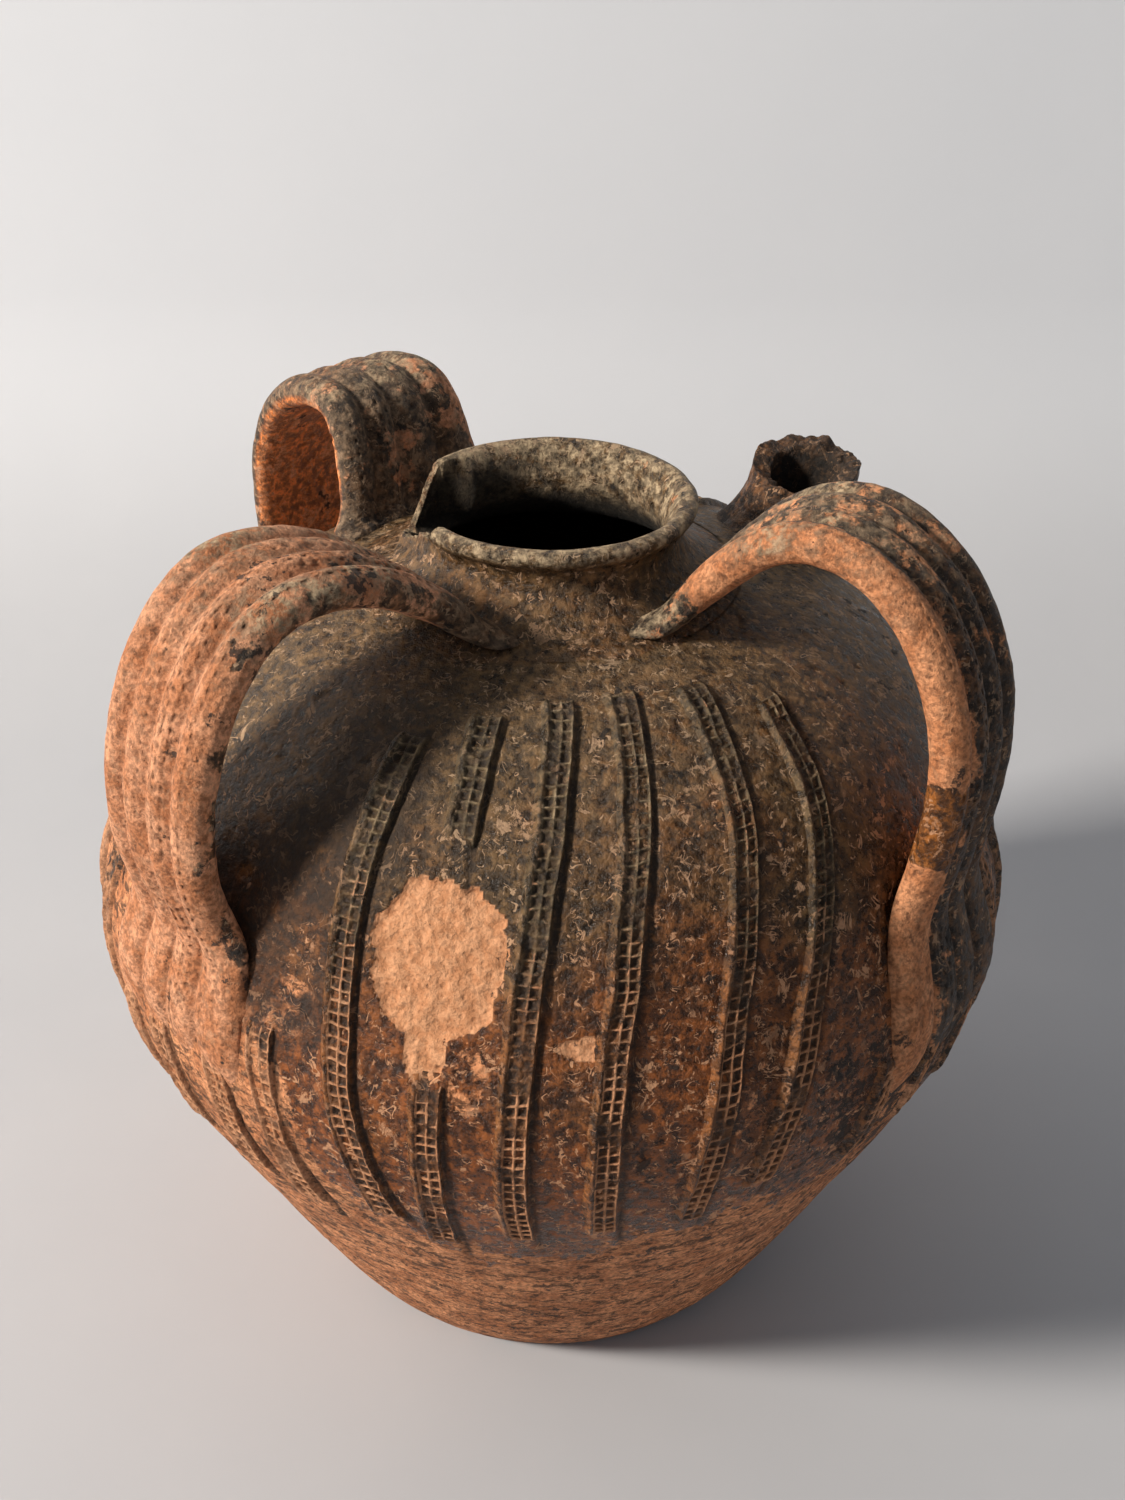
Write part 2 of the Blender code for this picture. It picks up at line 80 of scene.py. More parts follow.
HANDLES = {
    "handle_front_left": dict(
        azimuth=-47.6, lean=-3.7, half=0.0305, thickness=0.0150, fan=0.0,
        root_half=0.0320, foot_half=0.0320, seed=11,
        root=(0.0600, 0.3400), crest=(0.1335, 0.3812), side=(0.1850, 0.2960), foot=(0.1640, 0.2280)),
    "handle_front_right": dict(
        azimuth=57.0, lean=-6.5, half=0.0282, thickness=0.0150, fan=0.0,
        root_half=0.0300, foot_half=0.0300, seed=12,
        root=(0.0580, 0.3360), crest=(0.1235, 0.3882), side=(0.1824, 0.3080), foot=(0.1640, 0.2180)),
    "handle_rear_left": dict(
        azimuth=-139.8, lean=-8.0, half=0.0285, thickness=0.0135, fan=0.0240,
        root_half=0.0320, foot_half=0.0300, seed=13,
        root=(0.0850, 0.3200), crest=(0.1200, 0.3830), side=(0.1865, 0.2940), foot=(0.1640, 0.2270)),
}
HANDLE_END_THICKNESS = 0.0190
HANDLE_END_SHARE = 0.16
HANDLE_FAN_SHARE = 0.40
HANDLE_FAN_POWER = 1.3

SPOUT_AZIMUTH = 120.0
SPOUT_FOOT = (0.1080, 0.2900)
SPOUT_TOP = (0.1240, 0.3550)
SPOUT_OUTER = 0.0225
SPOUT_BORE = 0.0145

# name: (azimuth at mid height, lean, bend, bottom, top)
STRIPS = {
    "strip_front_1": (-21.5, -26.0, 44.0, 0.150, 0.3270),
    "strip_front_2_lower": (-13.5, -2.4, 12.0, 0.135, 0.2340),
    "strip_front_2_upper": (-13.5, -2.4, 12.0, 0.3010, 0.3320),
    "strip_front_3": (-4.3, -2.1, 42.0, 0.145, 0.3340),
    "strip_front_4": (5.5, -0.2, 58.0, 0.150, 0.3345),
    "strip_front_5": (16.7, 14.1, 52.0, 0.150, 0.3335),
    "strip_front_6": (24.4, 29.9, 53.0, 0.165, 0.3290),
    "strip_left_1": (-32.2, -16.0, 0.0, 0.140, 0.2380),
    "strip_left_2": (-40.2, -14.0, 0.0, 0.145, 0.2160),
    "strip_left_3": (-50.5, -30.0, 0.0, 0.150, 0.2120),
    "strip_right_1": (39.3, 27.0, 60.0, 0.155, 0.2140),
    "strip_right_2": (48.0, 30.0, 60.0, 0.160, 0.2060),
    "strip_right_3": (58.0, 30.0, 60.0, 0.160, 0.2060),
}
BACK_FIRST_AZIMUTH = 69.0
BACK_PITCH = 10.5
STRIP_EDGE = 0.0005
for name in NODES:
    if name.startswith("strip_back_"):
        low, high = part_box(name)
        middle = BACK_FIRST_AZIMUTH + BACK_PITCH * (int(name[-2:]) - 1)
        STRIPS[name] = (middle, 0.0, 0.0, low[2], high[2] - STRIP_EDGE)

# Where the glaze has flaked off: (azimuth, height, half width, half height, depth, how bare it is).
FLAKES = [
    (-13.4, 0.2720, 0.0262, 0.0290, 0.00140, 1.0),
    (-14.0, 0.2400, 0.0075, 0.0130, 0.00110, 1.0),
    (-8.8, 0.2330, 0.0085, 0.0150, 0.00035, 0.48),
    (3.4, 0.2450, 0.0085, 0.0040, 0.00050, 0.70),
    (-30.5, 0.2420, 0.0115, 0.0110, 0.00030, 0.46),
    (25.5, 0.2400, 0.0120, 0.0190, 0.00025, 0.36),
    (19.0, 0.2180, 0.0110, 0.0200, 0.00025, 0.40),
]


# ------------------------------------------------------------------------------- noise
def lattice(ix, iy, iz, seed):
    """Repeatable pseudo-random value from 0 to 1 at whole-number points."""
    h = ix * 374761393 + iy * 668265263 + iz * 2147483647 + seed * 1274126177
    h = (h ^ (h >> 13)) * 1274126177 & 0x7FFFFFFF
    h = (h ^ (h >> 16)) * 668265263 & 0x7FFFFFFF
    return ((h ^ (h >> 15)) & 0xFFFFFF) / 16777215.0


def noise(points, size, seed):
    """Smooth noise from 0 to 1 with bumps of the given size."""
    p = points / size + 1000.0
    whole = np.floor(p).astype(np.int64)
    f = p - whole
    f = f * f * (3 - 2 * f)
    total = np.zeros(len(points))
    for dx in (0, 1):
        wx = f[:, 0] if dx else 1 - f[:, 0]
        for dy in (0, 1):
            wy = f[:, 1] if dy else 1 - f[:, 1]
            for dz in (0, 1):
                wz = f[:, 2] if dz else 1 - f[:, 2]
                total += wx * wy * wz * lattice(whole[:, 0] + dx, whole[:, 1] + dy, whole[:, 2] + dz, seed)
    return total


def fractal(points, size, seed, octaves=4, gain=0.5):
    """Layered noise from 0 to 1."""
    total = np.zeros(len(points))
    weight = 1.0
    norm = 0.0
    for k in range(octaves):
        total += weight * noise(points, size / 2 ** k, seed + 17 * k)
        norm += weight
        weight *= gain
    return total / norm


def ramp(x, a, b):
    """Smooth step from 0 at a to 1 at b."""
    t = np.clip((x - a) / (b - a), 0.0, 1.0)
    return t * t * (3 - 2 * t)


def fall(x, c, d):
    """Smooth step from 1 at c to 0 at d."""
    return ramp(-x, -d, -c)


def window(x, a, b, c, d):
    """Smooth step up from a to b, and down again from c to d."""
    return ramp(x, a, b) * fall(x, c, d)


def uneven(points, size, seed, octaves=4, gain=0.5):
    """Layered noise from -0.5 to 0.5."""
    return fractal(points, size, seed, octaves, gain) - 0.5


def wrap(azimuth):
    """The azimuth as an angle from -180 to 180."""
    return (azimuth + 180.0) % 360.0 - 180.0


# ------------------------------------------------------------------------------ curves
def smooth_line(points, count):
    """Evenly spaced points on the Catmull-Rom curve through the given points."""
    p = np.array(points, float)
    p = np.vstack([2 * p[0] - p[1], p, 2 * p[-1] - p[-2]])
    fine = []
    for i in range(1, len(p) - 2):
        t = np.linspace(0, 1, 40, endpoint=False)[:, None]
        a = (p[i + 1] - p[i - 1]) / 2
        b = (p[i + 2] - p[i]) / 2
        fine.append(
            (2 * t ** 3 - 3 * t ** 2 + 1) * p[i] + (t ** 3 - 2 * t ** 2 + t) * a
            + (3 * t ** 2 - 2 * t ** 3) * p[i + 1] + (t ** 3 - t ** 2) * b)
    fine = np.vstack(fine + [p[-2][None]])
    length = np.concatenate([[0], np.cumsum(np.linalg.norm(np.diff(fine, axis=0), axis=1))])
    at = np.asarray(count) if np.ndim(count) else np.linspace(0, 1, count)
    return np.stack([np.interp(at * length[-1], length, fine[:, k]) for k in (0, 1)], axis=1)


def side_normals(line):
    """Unit normals in the (radius, height) plane, outwards from the jar."""
    d = np.gradient(line, axis=0)
    d /= np.linalg.norm(d, axis=1, keepdims=True)
    return np.stack([d[:, 1], -d[:, 0]], axis=1)


SKIN = smooth_line(BODY_LINE, 700)
SKIN_NORMAL = side_normals(SKIN)


def skin_at(height):
    """Radius and outward normal of the body's outer surface at the given heights."""
    radius = np.interp(height, SKIN[:, 1], SKIN[:, 0])
    nr = np.interp(height, SKIN[:, 1], SKIN_NORMAL[:, 0])
    nz = np.interp(height, SKIN[:, 1], SKIN_NORMAL[:, 1])
    return radius, nr, nz


def turned(azimuth, radius, height):
    """Points at azimuths in degrees, radii and heights."""
    a = np.radians(azimuth)
    return np.stack([radius * np.sin(a), -radius * np.cos(a), height + 0 * a], axis=-1)


def strip_azimuth(spec, height):
    """Azimuth of a strip's middle line at a height."""
    t = height / JAR_HEIGHT - 0.5
    return spec[0] + spec[1] * t + spec[2] * t ** 2


# ------------------------------------------------------------------------------ meshes
def grid_faces(rows, columns, close_rows=False, close_columns=False, keep=None):
    """Quads of a grid of points, wrapping round where asked, without the cells not kept."""
    i = np.arange(rows if close_rows else rows - 1)[:, None]
    j = np.arange(columns if close_columns else columns - 1)[None, :]
    i2 = (i + 1) % rows
    j2 = (j + 1) % columns
    quads = np.stack([i * columns + j, i * columns + j2, i2 * columns + j2, i2 * columns + j], axis=-1)
    quads = quads.reshape(-1, 4)
    if keep is not None:
        quads = quads[keep.reshape(-1)]
    return quads


def build(name, points, quads, attributes=None, fans=(), flip=False):
    """Mesh object from points, quads and end fans; attributes are one number per point."""
    faces = quads[:, ::-1] if flip else quads
    faces = [tuple(q) for q in faces.tolist()] + [tuple(f) for f in fans]
    mesh = bpy.data.meshes.new(name)
    mesh.from_pydata(points.tolist(), [], faces)
    mesh.validate()
    for key, values in (attributes or {}).items():
        layer = mesh.attributes.new(key, "FLOAT", "POINT")
        layer.data.foreach_set("value", np.ascontiguousarray(values, dtype=np.float32))
    mesh.shade_smooth()
    item = bpy.data.objects.new(name, mesh)
    bpy.context.scene.collection.objects.link(item)
    return item


def hand_over(item, node, material):
    """The piece stands for its node, rides on the jar and takes its material."""
    item.data.materials.append(material)
    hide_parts(node)
    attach(item, "root")


# --------------------------------------------------------------------- surface of the jar
# Azimuths between which the handles' sides of the jar differ from its front and back.
LEFT_SIDE = (-165.0, -120.0, -36.0, -23.0)
RIGHT_SIDE = (30.0, 50.0, 110.0, 150.0)
# Height of the glaze's lower edge, and how much higher it lies on the two sides.
GLAZE_EDGE = 0.148
GLAZE_EDGE_LEFT = 0.092
GLAZE_EDGE_RIGHT = 0.030
DUSTY_ABOVE = (0.275, 0.350)
WARM_BELOW = (0.200, 0.350)
# A blackened patch low on the right: its azimuths and heights.
BLACK_PATCH_ACROSS = (24.0, 34.0, 50.0, 64.0)
BLACK_PATCH_UP = (0.150, 0.175, 0.215, 0.240)


def zones(points):
    """Wear at points on the outside of the jar, from 0 to 1: bare clay, dust, soot, warm glaze."""
    x, y, z = points.T
    azimuth = np.degrees(np.arctan2(x, -y))
    rough = uneven(points, 0.032, 5)
    fine = uneven(points, 0.010, 6, 3)
    left = window(azimuth, *LEFT_SIDE)
    right = window(azimuth, *RIGHT_SIDE)
    edge = GLAZE_EDGE + GLAZE_EDGE_LEFT * left + GLAZE_EDGE_RIGHT * right
    bare = (0.80 + 0.20 * left) * ramp(edge - z + 0.085 * rough + 0.040 * fine, -0.034, 0.030)
    dust = 0.62 * ramp(z + 0.06 * rough + 0.03 * fine, *DUSTY_ABOVE)
    soot = 0.25 + 1.3 * rough + 0.55 * right * fall(z, 0.200, 0.250) - 0.25 * left
    soot += 0.75 * window(azimuth, *BLACK_PATCH_ACROSS) * window(z, *BLACK_PATCH_UP)
    soot = np.clip(soot, 0, 1.1)
    warm = fall(z - 0.09 * rough, *WARM_BELOW) * (1 - 0.35 * right)
    return bare, dust, soot, warm


def flake_field(azimuth, height, points):
    """Depth of the flaked patches and how bare they are, at points on the body."""
    depth = np.zeros(len(points))
    bare = np.zeros(len(points))
    radius = np.hypot(points[:, 0], points[:, 1])
    wobble = uneven(points, 0.015, 31, 5, 0.65) * 1.50
    for a0, z0, half_width, half_height, deep, amount in FLAKES:
        across = np.radians(azimuth - a0) * radius
        _, nr, _ = skin_at(height)
        up = (height - z0) / np.maximum(nr, 0.3)
        # The small flakes are more ragged than the big one.
        ragged = 0.45 if amount > 0.9 else 1.10
        inside = 1.0 - np.sqrt((across / half_width) ** 2 + (up / half_height) ** 2) + wobble * ragged
        edge = ramp(inside * min(half_width, half_height), -0.0004, 0.0011)
        depth = np.maximum(depth, edge * deep)
        bare = np.maximum(bare, edge * amount)
    return depth, bare


SWELL_RISE = 0.0010
SWELL_WIDTH = 0.0085
GROOVE_PLACE = 0.0072
GROOVE_WIDTH = 0.0013
GROOVE_DEPTH = 0.0011


def strip_swell(azimuth, height, radius):
    """Swelling of the wall beside the strips, and the groove along each strip's right side."""
    rise = np.zeros(len(azimuth))
    groove = np.zeros(len(azimuth))
    for key, spec in STRIPS.items():
        if key.startswith("strip_back"):
            continue
        x = (azimuth - strip_azimuth(spec, height)) * np.pi / 180 * radius
        x = (x + np.pi * radius) % (2 * np.pi * radius) - np.pi * radius
        low = spec[3] - 0.020
        high = spec[4] + 0.004
        along = window(height, low, spec[3] + 0.006, spec[4] - 0.008, high)
        rise = np.maximum(rise, along * SWELL_RISE * np.exp(-(x / SWELL_WIDTH) ** 2))
        groove = np.maximum(groove, along * np.exp(-((x - GROOVE_PLACE) / GROOVE_WIDTH) ** 2))
    return rise, groove


# The front, where the mesh is finer, in azimuths, and the height of the finer rows' lower end.
FRONT = (-66.0, 74.0)
FRONT_STEP = 0.42
BACK_STEP = 1.5
FINE_ABOVE = 0.125
# Painted shadow of the left handle, over sooty brown glaze, under its arch: azimuth, half width, and
# heights.
ARCH_SHADE_AZIMUTH = -37.0
ARCH_SHADE_HALF = (19.0, 9.0)
ARCH_SHADE_UP = (0.215, 0.245, 0.318, 0.340)
RIDGE_PITCH = 0.0062
TINY_RADIUS = 1e-4


def arch_shade_and_soot(azimuth, z, points):
    """How dark the wall is painted under the left handle's arch: the handle's painted shadow over sooty
    glaze; the patch narrows towards its top.
    """
    upper = ramp(z, 0.270, 0.310)
    off = np.abs(azimuth - ARCH_SHADE_AZIMUTH - 9.0 * upper)
    shade_and_soot = 0.86 * ramp(-off, -ARCH_SHADE_HALF[0] + 6.0 * upper, -ARCH_SHADE_HALF[1] + 3.0 * upper)
    return shade_and_soot * window(z, *ARCH_SHADE_UP) * ramp(fractal(points, 0.014, 35, 4), 0.25, 0.50)


def body_piece():
    """The jar's body: outer wall, floor, inner wall and the hole under the spout."""
    columns = np.concatenate([
        np.arange(FRONT[0], FRONT[1], FRONT_STEP), np.arange(FRONT[1], 360.0 + FRONT[0] - 0.5, BACK_STEP)])
    cut = np.searchsorted(SKIN[:, 1], FINE_ABOVE) / len(SKIN)
    places = np.concatenate([np.linspace(0, cut, 60, endpoint=False), np.linspace(cut, 1, 190)])
    line = smooth_line(BODY_LINE, places)
    normal = side_normals(line)
    az = wrap(np.tile(columns, len(line)))
    r = np.repeat(line[:, 0], len(columns))
    z = np.repeat(line[:, 1], len(columns))
    nr = np.repeat(normal[:, 0], len(columns))
    nz = np.repeat(normal[:, 1], len(columns))
    base = turned(az, r, z)
    bare, dust, soot, warm = zones(base)
    depth, chip = flake_field(az, z, base)
    rise, groove = strip_swell(az, z, r)
    # Painted shadow of the left handle under its arch, over sooty glaze.
    shade_and_soot = arch_shade_and_soot(az, z, base)
    # Slow dents, throwing ridges near the foot, small lumps, pits, and the rough floor of the flakes.
    ends = ramp(z, 0.003, 0.020)
    shape = uneven(base, 0.070, 2, 3) * 0.0022 * ends
    ridges = np.sin(z / RIDGE_PITCH * 2 * np.pi + 5 * fractal(base, 0.08, 3, 2)) * 0.00016
    shape += ridges * fall(z, 0.120, 0.170) * ends
    lumps = uneven(base, 0.011, 4, 3) * 0.00055
    pits = ramp(noise(base, 0.0065, 8), 0.80, 0.90) * 0.00055
    groove *= 0.6 + 0.8 * noise(base, 0.020, 15)
    rough_chip = uneven(base, 0.0034, 33, 4, 0.6) * 0.00330 * chip
    d = shape + lumps - pits + rise - GROOVE_DEPTH * np.clip(groove, 0, 1) - depth + rough_chip
    outer = turned(az, r + nr * d, z + nz * d)

    inner_line = smooth_line(BODY_LINE, 60)
    inner_line = inner_line - side_normals(inner_line) * BODY_WALL
    inner_line = inner_line[inner_line[:, 1] > FLOOR_HEIGHT + 0.006]
    inner_line = np.vstack([[inner_line[0][0] - 0.006, FLOOR_HEIGHT], inner_line])
    # The two walls meet under the collar, through rows that all have the outer wall's columns.
    floor_rows = np.array([[0.0, 0.0], [0.070, 0.0], [BASE_FLAT_RADIUS, 0.0]])
    rows = [turned(columns, row[0] or TINY_RADIUS, row[1]) for row in floor_rows]
    inside_rows = [turned(columns, row[0], row[1]) for row in inner_line[::-1]]
    inside_rows += [turned(columns, radius, FLOOR_HEIGHT) for radius in (0.05, TINY_RADIUS)]
    points = np.vstack([np.vstack(rows), outer, np.vstack(inside_rows)])
    total_rows = len(rows) + len(line) + len(inside_rows)

    # The hole under the spout; the spout's own wall passes through it.
    quads = grid_faces(total_rows, len(columns), close_columns=True)
    centre = points[quads].mean(axis=1)
    foot, up = spout_axis()
    off = centre - foot
    along = off @ up
    away = np.linalg.norm(off - along[:, None] * up, axis=1)
    quads = quads[~((away < 0.0180) & (along > -0.02) & (along < 0.08))]

    below = len(rows) * len(columns)
    within = len(inside_rows) * len(columns)

    def padded(values, fill):
        return np.concatenate([np.full(below, fill), values, np.full(within, fill)])

    attributes = {
        "bare": padded(np.maximum(bare, chip), 1.0),
        "fresh": padded(ramp(chip, 0.48, 0.80), 0.0),
        "dust": padded(dust * (1 - chip), 0.0),
        "soot": padded(soot * (1 - chip), 0.3),
        # Painted shade in the grooves beside the strips, and the painted shadow under the left arch over
        # sooty glaze.
        "shade_and_dirt": padded(np.clip(np.maximum(groove, shade_and_soot), 0, 1), 0.0),
        "warm": padded(warm, 0.0),
        # The inner wall and floor are painted near black as shade.
        "inside": np.concatenate([np.zeros(below + len(az)), np.ones(within)]),
    }
    return build("body_surface", points, quads, attributes)


def spout_axis():
    """Foot and unit direction of the spout's axis."""
    foot = turned(SPOUT_AZIMUTH, *SPOUT_FOOT)
    top = turned(SPOUT_AZIMUTH, *SPOUT_TOP)
    return foot, (top - foot) / np.linalg.norm(top - foot)


# ------------------------------------------------------------------------------ collar
def truncated(line, height, count):
    """The part of an upward line below a height, resampled evenly."""
    rising = np.maximum.accumulate(line[:, 1])
    index = np.searchsorted(rising, height)
    if index >= len(line):
        part = line
    else:
        k = max(index, 1)
        t = (height - line[k - 1, 1]) / max(line[k, 1] - line[k - 1, 1], 1e-9)
        part = np.vstack([line[:k], line[k - 1] + np.clip(t, 0, 1) * (line[k] - line[k - 1])])
    length = np.concatenate([[0], np.cumsum(np.linalg.norm(np.diff(part, axis=0), axis=1))])
    at = np.linspace(0, length[-1], count)
    return np.stack([np.interp(at, length, part[:, k]) for k in (0, 1)], axis=1)


# Azimuths of the broken side: where its wall is spread, and where its inside lies in shade.
BREAK_SPREAD = (-138.0, -122.0, -106.0, -88.0)
BREAK_SHADE = (-180.0, -150.0, -85.0, -55.0)
BREAK_BELOW = 0.3715
BREAK_LEAN = 0.0006
# Numbers of rows on the neck's outside, its top edge and its inside.
COLLAR_ROWS = (46, 7, 30)


def collar_piece():
    """The flared neck and its rolled rim, with the broken-out part on the left."""
    columns = np.concatenate([np.arange(-136.0, -50.0, 0.4), np.arange(-50.0, 223.5, 0.9)])
    outer_full = smooth_line(COLLAR_OUTER, 120)
    inner_full = smooth_line(COLLAR_INNER[::-1], 120)
    edge_az = [a for a, z in BREAK_EDGE]
    edge_z = [z for a, z in BREAK_EDGE]
    count_out, count_top, count_in = COLLAR_ROWS
    rows = count_out + count_top + count_in
    grid = np.zeros((len(columns), rows, 3))
    fresh = np.zeros((len(columns), rows))
    for c, azimuth in enumerate(columns):
        wrapped = wrap(azimuth)
        height = np.interp(wrapped, edge_az, edge_z, left=1.0, right=1.0)
        tooth = noise(np.array([[azimuth * 0.001, 0.0, 0.0]]), 0.0022, 77)[0] - 0.5
        tooth += 0.6 * (noise(np.array([[azimuth * 0.001, 0.5, 0.0]]), 0.0007, 78)[0] - 0.5)
        broken = height < BREAK_BELOW
        height = height + 0.0022 * tooth if broken else 1.0
        out = truncated(outer_full, height, count_out)
        inn = truncated(inner_full, height - BREAK_LEAN if broken else 1.0, count_in)[::-1]
        spread = window(wrapped, *BREAK_SPREAD)
        straight = BREAK_FLARE[0] + (BREAK_FLARE[1] - out[:, 1]) * BREAK_FLARE[2]
        out[:, 0] += spread * np.clip(straight - out[:, 0], 0, None) * fall(out[:, 1], 0.3660, 0.3700)
        straight = BREAK_FLARE[0] - BREAK_WALL + (BREAK_FLARE[1] - inn[:, 1]) * BREAK_FLARE[2]
        inn[:, 0] += spread * np.clip(straight - inn[:, 0], 0, None) * ramp(inn[:, 1], 0.3400, 0.3460)
        # The wall thins towards its broken edge.
        if broken:
            thin = 0.45 * ramp(inn[:, 1], inn[0, 1] - 0.009, inn[0, 1])
            inn[:, 0] += (out[-1, 0] - inn[0, 0]) * thin
        t = np.linspace(0, 1, count_top + 2)[1:-1, None]
        top = out[-1] * (1 - t) + inn[0] * t
        section = np.vstack([out, top, inn])
        if broken:
            fresh[c, count_out - 1:count_out + count_top + 1] = 1.0
        grid[c] = turned(azimuth, section[:, 0], section[:, 1])
    points = grid.reshape(-1, 3)
    flat = fresh.reshape(-1)
    radius = np.hypot(points[:, 0], points[:, 1])
    push = uneven(points, 0.028, 21, 3) * 0.0016 + uneven(points, 0.007, 22, 3) * 0.0008
    push += uneven(points, 0.0025, 23, 2) * 0.0005 * flat
    points[:, :2] *= (1 + push / radius)[:, None]
    lift = (noise(points, 0.045, 24) - 0.5) * 0.0016
    points[:, 2] += lift * ramp(points[:, 2], 0.345, 0.368)
    quads = grid_faces(len(columns), rows, close_rows=True, close_columns=True)
    soot = zones(points)[2]
    index = np.tile(np.arange(rows), len(columns))
    inner = ramp(index.astype(float), count_out + count_top - 2, count_out + count_top + 2)
    lip = ramp(points[:, 2], 0.3640, 0.3690) * (1 - flat)
    shade = window(np.repeat(wrap(columns), rows), *BREAK_SHADE) * fall(points[:, 2], 0.3620, 0.3700)
    attributes = {
        "bare": np.clip(0.12 + 0.16 * lip + 0.12 * inner + 0.15 * flat, 0, 1),
        "fresh": 0.0 * flat,
        "dust": np.clip(0.35 + 0.75 * lip + 0.70 * inner + 0.95 * flat, 0, 1.3),
        "soot": soot * 0.6 * (1 - flat),
        "warm": 0.25 * (1 - lip) * (1 - inner),
        "shade_and_dirt": 0.0 * flat,
        # Painted shade on the neck's inner wall, deep down and behind the break.
        "inside": inner * np.maximum(fall(points[:, 2], 0.3470, 0.3590), 0.92 * shade),
    }
    return build("collar_surface", points, quads, attributes)


# ------------------------------------------------------------------------------ strips
# Section of a strip: rise and sink over the wall, the bead on its left, and its steep right side.
STRIP_RISE = 0.0031
STRIP_SINK = 0.0008
BEAD_PLACE = -0.0037
BEAD_WIDTH = 0.0009
BEAD_RISE = 0.0006
DROP = (0.0055, 0.0067)
DROP_DEPTH = 0.0022
BACK_DEPTH = 0.0026
# The pressed squares: their pitch and depth, and the raised walls between them.
SQUARE_PITCH = 0.0043
SQUARE_DEPTH = 0.0013
WALL_PLACES = (-0.0027, 0.0014, 0.0054)
WALL_WIDTH = 0.00078
WALL_SHARE = 0.165
GRID = (-0.0032, -0.0025, 0.0053, 0.0059)


